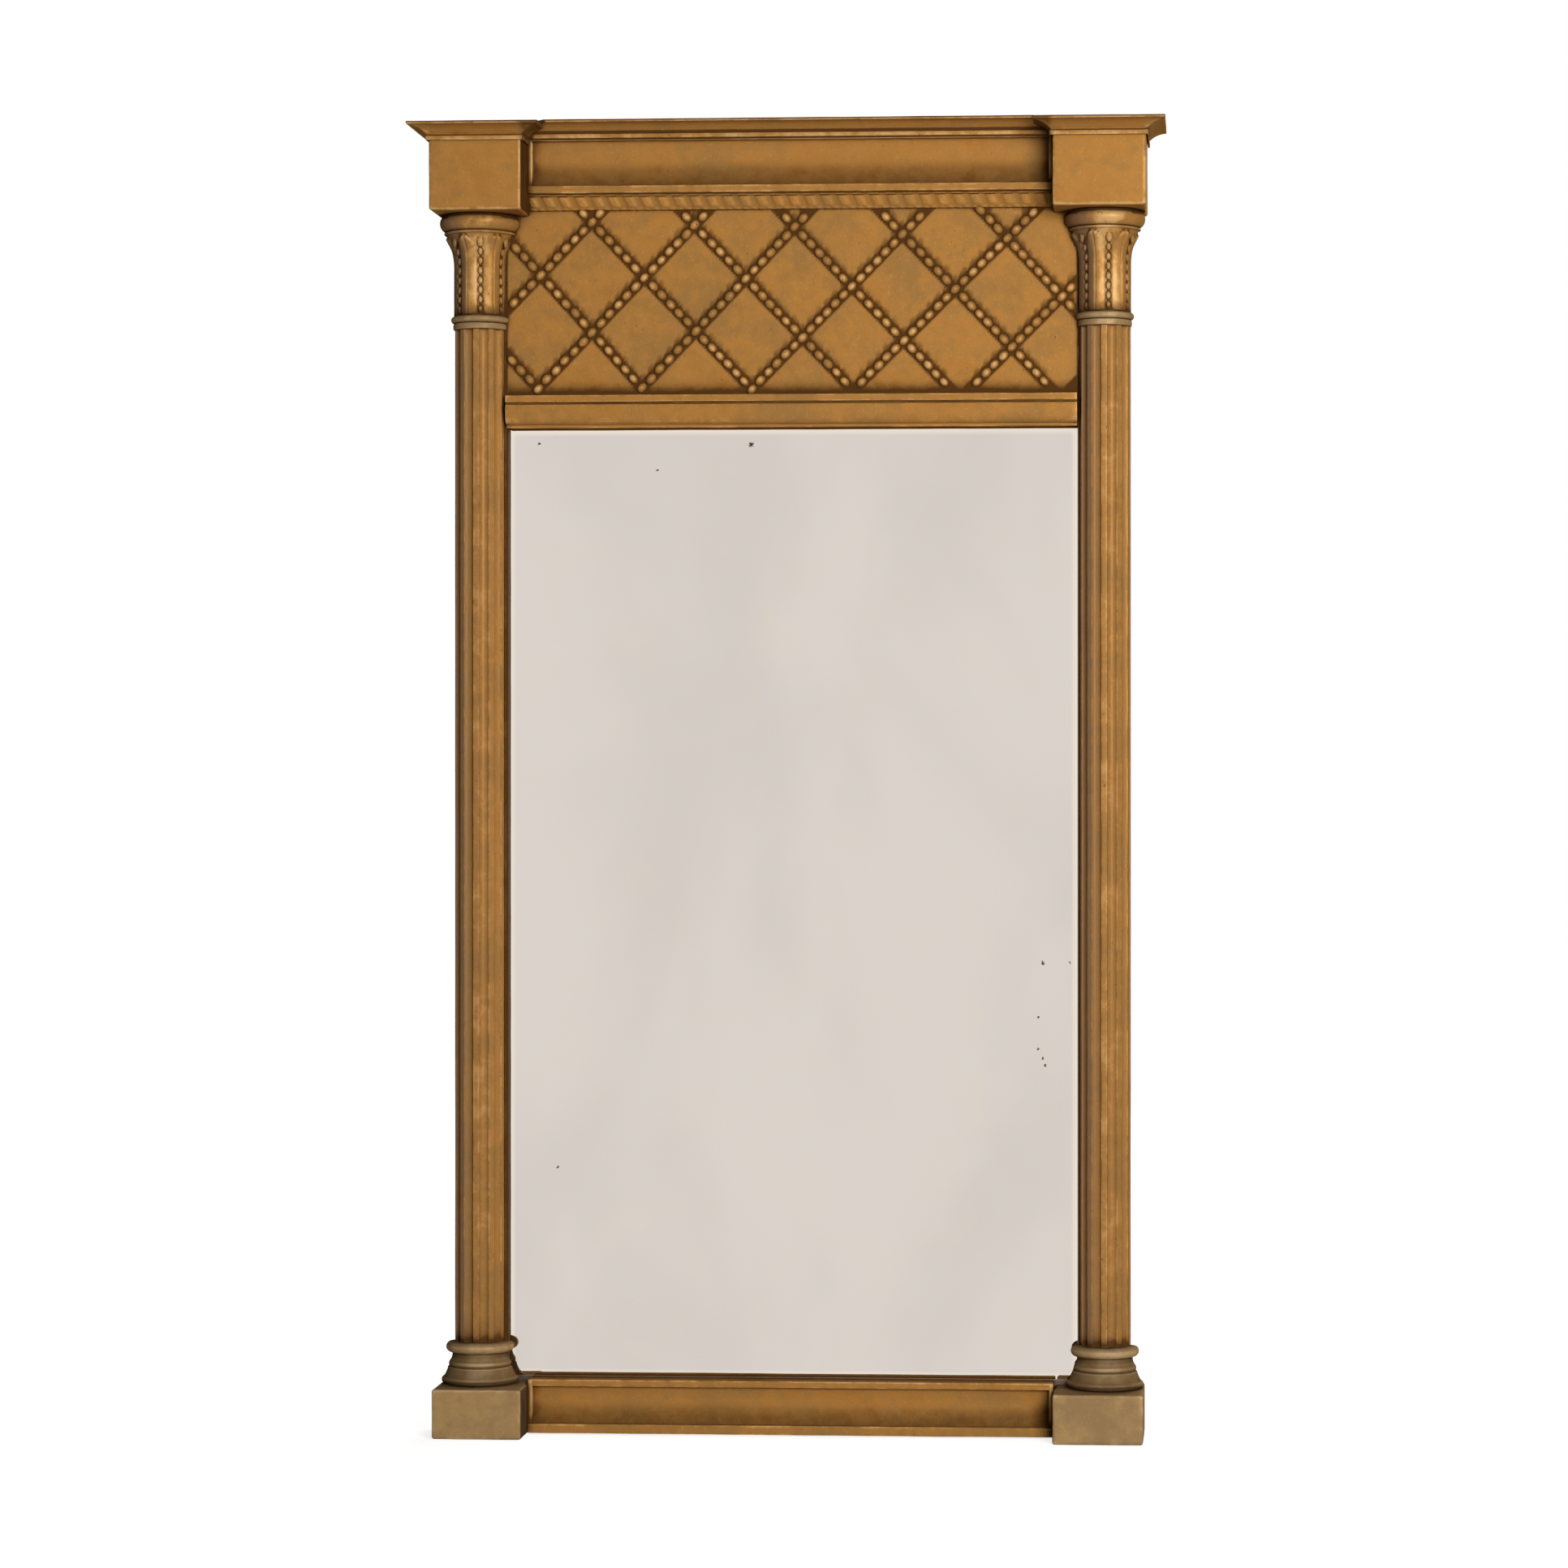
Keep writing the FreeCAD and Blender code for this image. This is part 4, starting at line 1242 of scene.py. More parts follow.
def string_beads(shape, leaf_turn):
    """Sets a string of beads in each channel that shows, with a larger bead on top."""
    for leaf in range(LEAVES):
        angle = leaf_turn + (leaf + 0.5) * LEAF_PITCH
        outward = Vector((math.sin(angle), -math.cos(angle), 0))
        if column_y + outward.y * CHANNEL_RADIUS > stile_low.y - 2 * MM:
            continue
        for number in range(STRING_BEADS):
            height = STRING_FOOT + number * STRING_PITCH
            radius = bell_radius(height) * (1 + facet(1, height / LEAF_TALL)) - STRING_SINK
            middle = Vector((column_x, column_y, capital_low.z + height)) + outward * radius
            swell = TOP_SWELL if number == STRING_BEADS - 1 else 1.0
            width, length = STRING_WIDTH * swell, STRING_LENGTH * swell
            add_bead(shape, middle, outward, UPWARD, width, length, STRING_DEPTH)


def capital(leaf_turn):
    """The bell with its leaves and beads, under a thin ring and the torus."""
    shape = turned(bell_and_torus(), column_x, column_y, LEAVES * LEAF_STEPS)
    carve_leaves(shape, leaf_turn)
    unevenness(shape, *CARVED_WAVES)
    flat_behind(shape)
    string_beads(shape, leaf_turn)
    return shape


# Both capitals turn the same way in the end, because the left one is flipped.
capitals = both_sides("capital_", gilt, "capital_", capital(LEAF_TURN), capital(-LEAF_TURN))

# %% [markdown]
# ## The strip of leaf tips
#
# Under the cornice's hollow runs a small moulding of cast leaf tips. Each tip leans to one side, laps
# over the next like a scale, ends in a round below, and stands on a row of small dots. A strip with many
# slices carries them as a relief.

# %% Leaf-tip strip
strip_low, strip_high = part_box("leaf_tip_moulding")
TIPS = 32
TIP_STEPS = 14
TIP_LEAN = 0.42
TIP_RELIEF = 1.3 * MM
TIP_SMOOTH_ANGLE = 55
STRIP_LIP = 1.6 * MM
STRIP_LIP_BACK = 0.2 * MM
STRIP_ROWS = 16
STRIP_THIN = 2.2 * MM
STRIP_SWELL = 3.6 * MM
STRIP_CURVE = 0.8
strip_wide = strip_high.x - strip_low.x
tips_top = strip_high.z - STRIP_LIP


def tip_relief(along, up):
    """How far a leaf tip stands out. Along runs from 0 to 1 across its pitch and up from 0 to 1."""
    blade = smooth_step(along, 0.06, 0.3) * (1 - smooth_step(along, 0.52, 0.84))
    foot = 0.06 + 0.24 * (2 * along - 0.9) ** 2
    dot_off = abs((2 * along) % 1 - 0.5) * 2
    dot = 0.5 * (1 - smooth_step(dot_off, 0.3, 0.8)) * (1 - smooth_step(up, 0.08, 0.2))
    return max(blade * smooth_step(up, foot, foot + 0.2), dot)


def tip_relief_at(place):
    """The relief at a place on the strip's front, from 0 to 1. The tips lean less towards the right."""
    along = (place.x - strip_low.x) / strip_wide
    up = (place.z - strip_low.z) / (tips_top - strip_low.z)
    return tip_relief((along * TIPS + TIP_LEAN * (1 - 0.3 * along) * up) % 1, up)


def leaf_strip():
    """The strip, with its front shaped into a row of tips."""
    back = strip_high.y
    points = [(back, strip_low.z)]
    for number in range(STRIP_ROWS + 1):
        up = number / STRIP_ROWS
        front = back - STRIP_THIN - STRIP_SWELL * up**STRIP_CURVE
        points.append((front, strip_low.z + (tips_top - strip_low.z) * up))
    lip_front = strip_low.y + STRIP_LIP_BACK
    points += [(lip_front, tips_top), (lip_front, strip_high.z), (back, strip_high.z)]
    shape = prism(points, "x", strip_low.x, strip_high.x)
    slice_up(shape, (strip_wide / (TIPS * TIP_STEPS), 0, 0))
    for vert in shape.verts:
        if vert.co.y < back - MM and vert.co.z < tips_top - 0.1 * MM:
            vert.co.y -= TIP_RELIEF * tip_relief_at(vert.co)
    shape.normal_update()
    return shape


leaf_tips = gilt_piece(
    "leaf_tips_gilt", leaf_strip(), gilt, "leaf_tip_moulding", smooth_angle=TIP_SMOOTH_ANGLE
)

# %% [markdown]
# ## The frieze panel and the slips
#
# The panel is a flat gilt board, but it needs many points: the dirt along the bead strands is stored in
# them. Two thin slips close the gap beside the plate.

# %% Panel and slips
panel_low, panel_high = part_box("frieze_panel")
PANEL_GRID = (1.7 * MM, 0, 1.7 * MM)
SLIP_EASE = 0.8 * MM
SLIP_GRID = (0, 2.5 * MM, 6 * MM)
SLIP_WAVES = (0.2 * MM, 20 * MM)


def sight_slip():
    """A thin slip with soft edges."""
    shape = slab(slip_low, slip_high, "z")
    soften(shape, SLIP_EASE)
    slice_up(shape, SLIP_GRID)
    unevenness(shape, *SLIP_WAVES)
    return shape


panel = slab(panel_low, panel_high, "y")
slice_up(panel, PANEL_GRID)
leave_bare(panel, back=panel_high.y)
frieze = gilt_piece("frieze_panel_gilt", panel, gilt, "frieze_panel")
slips = both_sides("sight_slip_", gilt, "sight_slip_", sight_slip(), sight_slip())

# %% [markdown]
# ## The bead trellis
#
# Strings of wooden beads are glued to the panel in a trellis. The strands that rise to the right run
# through, with a bead on each crossing. The strands that fall are cut between them. Each strand is a
# straight line between a foot on the panel's lower edge and a head under the leaf tips, given as shares
# of the panel's half width. It wasn't laid with a ruler, so the shares aren't even.

# %% Strand lines and crossings
RISING_FOOT_SHARES = (-1.294, -0.914, -0.549, -0.157, 0.202, 0.608, 0.958)
RISING_HEAD_SHARES = (-0.661, -0.287, 0.073, 0.478, 0.864, 1.257, 1.607)
FALLING_FOOT_SHARES = (-0.869, -0.500, -0.118, 0.231, 0.574, 0.925, 1.257)
FALLING_HEAD_SHARES = (-1.442, -1.083, -0.740, -0.391, -0.048, 0.301, 0.655)
BEAD_PITCH = 8.7 * MM
BEADS_PAST_END = range(1, 20)
CROSSING_MARGIN = 20 * MM
FOOT_ROOM = 3 * MM
HEAD_ROOM = 1 * MM
COLUMN_ROOM = 1.5 * MM
CAPITAL_ROOM = 3.5 * MM
half_panel = panel_high.x
field_low = panel_low.z
field_high = strip_low.z


def strand_lines(foot_shares, head_shares):
    """The two ends of each strand on the panel, as pairs of X and Z."""
    lines = []
    for foot, head in zip(foot_shares, head_shares):
        lines.append((Vector((foot * half_panel, field_low)), Vector((head * half_panel, field_high))))
    return lines


def crossing(line, other):
    """How far along one line another crosses it, in metres, or None."""
    start, end = line
    along = end - start
    other_along = other[1] - other[0]
    gap = other[0] - start
    spread = along.x * other_along.y - along.y * other_along.x
    share = (gap.x * other_along.y - gap.y * other_along.x) / spread
    height = start.y + share * along.y
    near_field = field_low - CROSSING_MARGIN < height < field_high + CROSSING_MARGIN
    return share * along.length if near_field else None


def stations(line, others, keep_crossings):
    """Where the beads of a strand sit: evenly between crossings, and past them at the usual pitch."""
    meets = sorted(place for place in (crossing(line, other) for other in others) if place is not None)
    places = []
    for low, high in zip(meets, meets[1:]):
        count = max(1, round((high - low) / BEAD_PITCH))
        places += [low + (high - low) * number / count for number in range(1, count)]
    places += [meets[0] - BEAD_PITCH * number for number in BEADS_PAST_END]
    places += [meets[-1] + BEAD_PITCH * number for number in BEADS_PAST_END]
    if keep_crossings:
        places += meets
    start, end = line
    return [start + (end - start).normalized() * place for place in places]


def on_panel(spot):
    """True where a bead has room between the rail, the leaf tips and the columns."""
    if not field_low + FOOT_ROOM < spot.y < field_high - HEAD_ROOM:
        return False
    room = COLUMN_ROOM if spot.y < neck_foot else CAPITAL_ROOM
    return abs(spot.x) < half_panel - room


rising = strand_lines(RISING_FOOT_SHARES, RISING_HEAD_SHARES)
falling = strand_lines(FALLING_FOOT_SHARES, FALLING_HEAD_SHARES)
print(len(rising), "rising and", len(falling), "falling strands")

# %% [markdown]
# Each bead is painted with its own light: a pale painted highlight on its top and painted shade round its
# foot. Both follow from how far a point stands out from the panel, so they are set here and need no
# measuring.

# %% Beads of the trellis
FORWARD = Vector((0, -1, 0))
BEAD_LENGTH = 8.7 * MM
BEAD_WIDTH = 6.5 * MM
BEAD_DEPTH = 3.4 * MM
BEAD_SHRINK = -0.05
BEAD_GROWTH = 0.04
BEAD_SHIFT = 0.3
BEAD_SMOOTH_ANGLE = 80
BEAD_FOOT_SHADE = 0.8
bead_pieces = []


def strand_beads(shape, line, others, keep_crossings):
    """Adds the beads of one strand, no two alike, and counts them."""
    slope = (line[1] - line[0]).normalized()
    along = Vector((slope.x, 0, slope.y))
    spots = [spot for spot in stations(line, others, keep_crossings) if on_panel(spot)]
    for spot in spots:
        size = 1 + bead_dice.uniform(BEAD_SHRINK, BEAD_GROWTH)
        shift_x = bead_dice.uniform(-BEAD_SHIFT, BEAD_SHIFT) * MM
        shift_z = bead_dice.uniform(-BEAD_SHIFT, BEAD_SHIFT) * MM
        middle = Vector((spot.x + shift_x, panel_low.y, spot.y + shift_z))
        add_bead(shape, middle, FORWARD, along, BEAD_WIDTH * size, BEAD_LENGTH * size, BEAD_DEPTH)
    return len(spots)


def set_measure(piece, measure, values):
    """Stores one value of a measure for each point of a piece."""
    piece.data.attributes[measure].data.foreach_set("value", values)


strand_sets = (("rising", rising, falling, True), ("falling", falling, rising, False))
for name, lines, others, through in strand_sets:
    strand = bmesh.new()
    beads = sum(strand_beads(strand, line, others, through) for line in lines)
    node = "trellis_strands_" + name
    beaded = new_piece(
        "trellis_" + name + "_gilt", strand, [gilt], "gilt", node, smooth_angle=BEAD_SMOOTH_ANGLE
    )
    bead_pieces.append(beaded)
    heights = [(panel_low.y - vert.co.y) / BEAD_DEPTH for vert in beaded.data.vertices]
    set_measure(beaded, "rub", [smooth_step(height, 0.5, 1.0) for height in heights])
    foots = [BEAD_FOOT_SHADE * (1 - smooth_step(height, 0.1, 0.85)) for height in heights]
    set_measure(beaded, "grime", foots)
    print(name, "strands have", beads, "beads")

# %% [markdown]
# ## The old plate
#
# The plate is silvered behind, so it is a mirror with a tint: old glass is a little warm and grey. Time
# has made faint clouds, and black foxing where the silver has gone. The spots have places of their own,
# so each is a small patch round a point of the plate, with an uneven rim. The sight is the part of the
# plate that shows. A dark line of painted shade runs along its sides and its foot, where the plate meets
# the slips and the bottom rail.

# %% Mirror plate
plate_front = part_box("mirror_plate")[0].y
SIGHT_LOW = Vector((-slip_low.x, 0, foot_high.z))
SIGHT_HIGH = Vector((slip_low.x, 0, mid_low.z))
SIGHT_SIZE = SIGHT_HIGH - SIGHT_LOW
CORNER_ROUND = 7 * MM
RAGGED_RIM = 0.7 * MM
PEPPER_REACH = 6 * MM
RIM_DARK = 0.9
CLEAR_SILVER = 0.03
BLIND_SILVER = 0.5
# Each spot: share of the sight's width, share of its height, radius in millimetres.
SPOT_SHARES = (
    (0.428, 0.983, 2.0),
    (0.054, 0.985, 1.1),
    (0.938, 0.437, 1.5),
    (0.930, 0.347, 0.9),
    (0.938, 0.337, 1.1),
    (0.942, 0.330, 0.9),
    (0.087, 0.220, 1.0),
    (0.262, 0.956, 0.8),
    (0.985, 0.438, 0.8),
    (0.930, 0.380, 0.6),
)


def rim_gap(tree, from_side, parts):
    """How far inside the rim of the sight a place lies. The rim is rounded at its corners."""
    from_middle = minus(tree, parts["Z"], (SIGHT_HIGH.z + SIGHT_LOW.z) / 2)
    from_ends = math_node(tree, "ABSOLUTE", from_middle)
    past_x = minus(tree, from_side, SIGHT_HIGH.x - CORNER_ROUND)
    past_z = minus(tree, from_ends, SIGHT_SIZE.z / 2 - CORNER_ROUND)
    arrow = {0: largest(tree, past_x, 0.0), 1: largest(tree, past_z, 0.0)}
    past = add(tree, "ShaderNodeCombineXYZ", arrow).outputs[0]
    return minus(tree, CORNER_ROUND, length_of(tree, past))


def spot_marks(tree, place):
    """A dark patch for each spot, with an uneven rim."""
    ragged = ramp(tree, grain(tree, place, 1.4 * MM, 3.0, 0.6), 0.3, 0.7, -RAGGED_RIM, RAGGED_RIM)
    marks = []
    for across_share, up_share, radius in SPOT_SHARES:
        spot_x = SIGHT_LOW.x + SIGHT_SIZE.x * across_share
        spot_z = SIGHT_LOW.z + SIGHT_SIZE.z * up_share
        ends = {0: place, 1: (spot_x, plate_front, spot_z)}
        far = add(tree, "ShaderNodeVectorMath", ends, operation="DISTANCE").outputs["Value"]
        far = plus(tree, far, ragged)
        marks.append(ramp(tree, far, radius * MM * 0.55, radius * MM * 1.15, 1.0, 0.0))
    return marks


def plate_finish():
    """A tinted mirror with clouds, a clear rim, dark spots where the silver has gone, and painted shade
    along the sides and foot of the sight.
    """
    material, tree, shader = new_material("old_plate")
    place = object_place(tree)
    parts = add(tree, "ShaderNodeSeparateXYZ", {0: place}).outputs
    from_side = math_node(tree, "ABSOLUTE", parts["X"])
    cloud = grain(tree, stretched(tree, place, (1.0, 1.0, 0.6)), 160 * MM, 3.0, 0.5, 0.3)
    wisp = grain(tree, place, 40 * MM, 4.0, 0.55, 0.6)
    tint = blend(tree, ramp(tree, cloud, 0.35, 0.65), linear(219, 211, 203), linear(211, 203, 196))
    tint = blend(tree, ramp(tree, wisp, 0.5, 0.75, 0.0, 0.25), tint, linear(219, 207, 193))
    gap = rim_gap(tree, from_side, parts)
    tint = blend(tree, ramp(tree, gap, 1.5 * MM, 6 * MM, 0.85, 0.0), tint, linear(236, 224, 210))

    top_gap = minus(tree, SIGHT_HIGH.z, parts["Z"])
    side_gap = minus(tree, SIGHT_HIGH.x, from_side)
    foot_gap = minus(tree, parts["Z"], SIGHT_LOW.z)
    pepper = ramp(tree, grain(tree, place, 3 * MM, 1.0, 0.4), 0.80, 0.83)
    # Foxing, and a dark line of painted shade along the sides and the foot of the sight.
    foxing_and_edge_shade = largest(
        tree,
        *spot_marks(tree, place),
        times(tree, pepper, ramp(tree, top_gap, 0.0, PEPPER_REACH, 1.0, 0.0)),
        ramp(tree, side_gap, 0.0, 1.0 * MM, RIM_DARK, 0.0),
        ramp(tree, foot_gap, -0.4 * MM, 0.6 * MM, RIM_DARK, 0.0),
    )
    tree.links.new(blend(tree, foxing_and_edge_shade, tint, linear(62, 44, 28)), shader.inputs["Base Color"])
    roughness = ramp(tree, foxing_and_edge_shade, 0.0, 1.0, CLEAR_SILVER, BLIND_SILVER)
    tree.links.new(roughness, shader.inputs["Roughness"])
    shader.inputs["Metallic"].default_value = 1.0
    return material


def dress(material, *nodes):
    """Gives parts of the frame a finish in place of their plain one."""
    for node in nodes:
        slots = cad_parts[node].material_slots
        if not slots:
            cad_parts[node].data.materials.append(material)
        for slot in slots:
            slot.link = "OBJECT"
            slot.material = material
    print(material.name, "on", len(nodes), "parts")


dress(plate_finish(), "mirror_plate")

# %% [markdown]
# ## The carcass and its metalwork
#
# The joined frame of stiles and rails has the right shape already, so it keeps its own meshes and only
# gets finishes. Boards show most from behind, so they are made again with soft edges. The brass is
# tarnished and the nails are rusty. Both metals share one group, because tarnish and rust settle in the
# same blotchy way.

# %% Tarnish group and metals
METAL_BUMP = (0.3, 0.15 * MM)


def tarnish_group():
    """Blotches of a second colour on a metal."""
    inputs = {"Bright": COLOUR, "Tarnish": COLOUR, "Spread": VALUE}
    outputs = {"Color": COLOUR, "Roughness": VALUE, "Metal": VALUE, "Height": VALUE}
    tree, taken, given = new_group("tarnish", inputs, outputs)
    place = object_place(tree)
    blotch = grain(tree, place, 4 * MM, 5.0, 0.65, 0.5)
    pit = grain(tree, place, 0.7 * MM, 2.0, 0.5)
    covered = ramp(tree, plus(tree, blotch, taken["Spread"]), 0.45, 0.75)
    give(
        tree,
        given,
        Color=blend(tree, covered, taken["Bright"], taken["Tarnish"]),
        Roughness=ramp(tree, covered, 0.0, 1.0, 0.32, 0.68),
        Metal=minus(tree, 1.0, times(tree, covered, 0.6)),
        Height=plus(tree, pit, times(tree, blotch, 0.6)),
    )
    return tree


tarnish = tarnish_group()


def metal_finish(name, bright, tarnished, spread):
    """A metal with its film of age."""
    values = {"Bright": linear(*bright), "Tarnish": linear(*tarnished), "Spread": spread}
    return group_finish(name, tarnish, values, *METAL_BUMP)[0]


brass = metal_finish("old_brass", (196, 154, 84), (104, 78, 42), 0.0)
rust = metal_finish("rusty_iron", (96, 78, 66), (92, 52, 30), 0.22)
dress(brass, "hanger_plate_left", "hanger_plate_right", "hanger_screws")
dress(brass, "hanger_ring_left", "hanger_ring_right")
dress(rust, "backboard_nails")
dress(upright_pine, "carcass_stile_left", "carcass_stile_right", "carcass_pegs", "glass_wedges")
dress(cross_pine, "carcass_top_rail", "carcass_mid_rail", "carcass_bottom_rail")
dress(cross_pine, "hanging_batten", "cornice_top_board")

# %% Backboards
BOARD_EASE = 0.9 * MM
BOARD_GRID = (12 * MM, 0, 24 * MM)
BOARD_WAVES = (0.35 * MM, 70 * MM)
for number in BOARDS:
    name = "backboard_" + str(number)
    board = slab(*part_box(name), "z")
    soften(board, BOARD_EASE)
    slice_up(board, BOARD_GRID)
    unevenness(board, *BOARD_WAVES)
    new_piece(name + "_sawn", board, [board_pines[number]], "aged_pine", name)

# %% [markdown]
# ## Where dirt and painted shade go
# Dirt settles, and shade falls, where nothing reaches. To find such places, each point sends out short rays
# over its outer side. The more of them hit another surface close by, the deeper in a corner the point lies,
# and the darker it is painted, for dirt and for shade alike. Rays that go down count for more than rays
# that go up, and a surface just below and in front of a point darkens it further. All gilt pieces are in
# place now, so one search tree holds them all. The directions follow a sunflower's spiral, so they are even
# and always the same.

# %% Measure dirt and painted shade
NEAR_REACH = 10 * MM
NEAR_SHARE = 0.55
FAR_REACH = 28 * MM
FAR_SHARE = 0.45
RAY_LIFT = 0.15 * MM
DOWN_GAIN = 0.8
UP_LOSS = 0.3
DARKENING_GAIN = 1.5
LEDGE_REACH = 15 * MM
LEDGE_DARKENING = 0.45
RAYS = 16
TOWARDS_LEDGE = Vector((0, -0.3, -1)).normalized()
GOLDEN_ANGLE = math.pi * (3 - math.sqrt(5))


def sunflower_rays():
    """Directions over a half sphere, more of them near its pole."""
    rays = []
    for number in range(RAYS):
        height = math.sqrt(1 - (number + 0.5) / RAYS)
        out = math.sqrt(1 - height * height)
        turn = GOLDEN_ANGLE * number
        rays.append(Vector((out * math.cos(turn), out * math.sin(turn), height)))
    return rays


def search_tree(pieces):
    """One tree of all faces of some pieces."""
    points = []
    faces = []
    for piece in pieces:
        start = len(points)
        points += [vert.co.copy() for vert in piece.data.vertices]
        faces += [[start + index for index in face.vertices] for face in piece.data.polygons]
    return BVHTree.FromPolygons(points, faces)


def shut_in(tree, rays, start, normal):
    """How shut in a place is, from 0 to 1."""
    turn = normal.to_track_quat("Z", "Y").to_matrix()
    total = 0.0
    for ray in rays:
        direction = turn @ ray
        distance = tree.ray_cast(start, direction, FAR_REACH)[3]
        if distance is not None:
            near = max(0.0, 1 - distance / NEAR_REACH)
            corner = NEAR_SHARE * near + FAR_SHARE * (1 - distance / FAR_REACH)
            total += corner * (1 + DOWN_GAIN * max(0.0, -direction.z) - UP_LOSS * max(0.0, direction.z))
    # A surface close below and in front of a point darkens it further.
    ledge = tree.ray_cast(start, TOWARDS_LEDGE, LEDGE_REACH)[3]
    dust = 0.0 if ledge is None else LEDGE_DARKENING * (1 - ledge / LEDGE_REACH)
    return min(1.0, DARKENING_GAIN * total / RAYS + dust)


occlusion_tree = search_tree(gilt_pieces + bead_pieces + [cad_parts["mirror_plate"]])
spiral = sunflower_rays()
for piece in gilt_pieces:
    grime = []
    for vert in piece.data.vertices:
        grime.append(shut_in(occlusion_tree, spiral, vert.co + vert.normal * RAY_LIFT, vert.normal))
    set_measure(piece, "grime", grime)
    print("grime on", piece.name, round(sum(grime) / len(grime), 3))

# %% [markdown]
# Some darkening follows habits rather than corners. Dirt and painted shade line the bead strands and fill
# the gaps of the leaf tips, dirt fills the open mitres, and painted shade covers the sides that face the
# plate and the crown's returns that face the middle. Each column is painted as if lit from a little right
# of its front: a pale painted highlight on the front, painted shade on both flanks, and grey-brown painted
# shade on its left. Each rule below says how much of a measure belongs at a place, and a measure is only
# ever raised to it.

# %% Rules for dirt, painted shade, painted highlights and wear
STRAND_SHADE_AND_DIRT = 3.7 * MM
STRAND_SHADE_AND_DIRT_IN = 0.8 * MM
STRAND_SHADE_AND_DIRT_OUT = 1.6 * MM
INNER_SIDE = 0.7 * MM
SLIP_SIDE = 0.9 * MM
BASE_RING = 21.4 * MM
LIP_DIRT = 1.2 * MM
LIGHT_TURN = 10
TIP_RUB = 0.35


def beside_strand(place):
    """Painted shade and dirt on the panel under a strand and close beside it."""
    if place.y > panel_low.y + MM:
        return 0.0
    gaps = []
    for start, end in rising + falling:
        along = (end - start).normalized()
        gaps.append(abs(along.x * (place.z - start.y) - along.y * (place.x - start.x)))
    away = smooth_step(min(gaps), STRAND_SHADE_AND_DIRT - STRAND_SHADE_AND_DIRT_IN, STRAND_SHADE_AND_DIRT + STRAND_SHADE_AND_DIRT_OUT)
    return 0.95 * (1 - away)


def between_tips(place):
    """Painted shade and dirt in the gaps of the leaf-tip strip."""
    if place.y >= strip_high.y - MM:
        return 0.0
    return 0.28 * (1 - smooth_step(tip_relief_at(place), 0.1, 0.8))


def on_inner_side(place):
    """Painted shade on the side of a block or a plinth that faces the plate."""
    return 0.8 if abs(place.x) < block_low.x + INNER_SIDE else 0.0


def on_slip(place):
    """A slip darkened: heavy painted shade on the side towards the plate, and a little dirt in front."""
    return 0.9 if abs(place.x) < slip_low.x + SLIP_SIDE else 0.3


def on_rings(place):
    """A little dirt on the upper ring of a base and on the necking."""
    return 0.14 if place.z > base_foot + BASE_RING else 0.0


def on_crown(place):
    """On the crown: dirt in open mitres, a darker line along its top edge, and painted shade on the returns
    that face the middle.
    """
    past_corner = abs(place.x) - block_low.x
    from_seat = place.y - centre_seat
    crack = 0.95 * (1 - smooth_step(abs(past_corner - from_seat), 0.8 * MM, 2.4 * MM))
    top = crown_high.z if past_corner < from_seat else front_high.z
    lip = 0.95 if place.z > top - LIP_DIRT else 0.0
    # Painted shade on the returns that face the middle.
    inner_return = 0.6 if from_seat < past_corner < -0.2 * MM else 0.0
    return max(crack, lip, inner_return)


def column_turn(place):
    """How far round its column a place lies, in degrees from the front."""
    out_x = place.x - math.copysign(column_x, place.x)
    return math.degrees(math.atan2(out_x, column_y - place.y))


def on_flank(amount):
    """A rule for painted shade on both flanks of a column, as if lit from a little right of the front."""
    return lambda place: amount * smooth_step(abs(column_turn(place) - LIGHT_TURN), 34, 84)


def on_left(thin, thick):
    """A rule for grey-brown painted shade on a column, thin all round and thick on the left."""
    return lambda place: thin + (thick - thin) * smooth_step(-column_turn(place), 10, 32)


def on_front(amount):
    """A rule for a pale painted highlight on the front of a column, a little right of the middle."""
    return lambda place: amount * (1 - smooth_step(abs(column_turn(place) - LIGHT_TURN), 12, 40))


def raise_measure(piece, measure, amount_at):
    """Raises a measure of a piece to what a rule says, wherever that is more."""
    layer = piece.data.attributes[measure].data
    for vert, spot in zip(piece.data.vertices, layer):
        spot.value = max(spot.value, amount_at(vert.co))


rules = (
    ([frieze], "grime", beside_strand),
    ([leaf_tips], "grime", between_tips),
    (cubes, "grime", on_inner_side),
    (slips, "grime", on_slip),
    (bases, "grime", on_rings),
    (crowns, "grime", on_crown),
    (bases, "grime", on_flank(0.08)),
    (shafts, "grime", on_flank(0.22)),
    (capitals, "grime", on_flank(0.32)),
    (bases, "film", on_left(0.0, 0.3)),
    (shafts, "film", on_left(0.12, 0.7)),
    (capitals, "film", on_left(0.0, 0.8)),
    (bases, "rub", on_front(0.9)),
    (shafts, "rub", on_front(0.45)),
    (capitals, "rub", on_front(0.95)),
)
for made, measure, amount_at in rules:
    for piece in made:
        raise_measure(piece, measure, amount_at)
set_measure(leaf_tips, "rub", [TIP_RUB * tip_relief_at(vert.co) for vert in leaf_tips.data.vertices])
print(len(rules), "rules for dirt, soot and wear")

# %% [markdown]
# ## Floor, light and camera
#
# The mirror stands on a pale floor in a white studio. The world shows plain white to the camera, to the
# plate and to the gold, and a lower level to everything else, so that the backdrop doesn't burn out the
# colours. A large lamp to the right of the viewer shapes the flutes and beads, and a weak one on the left
# opens the shadows. A third lamp behind the mirror lights its back.

# %% World and floor
FLOOR_HALF = 9.0
FLOOR_DROP = 0.2 * MM
AMBIENT = 0.07
NEAR_LIFT = 0.8
FADE_START = 1.2
FADE_END = 2.6
WHITE = (1, 1, 1, 1)
GREY = (0.5, 0.5, 0.5, 1)


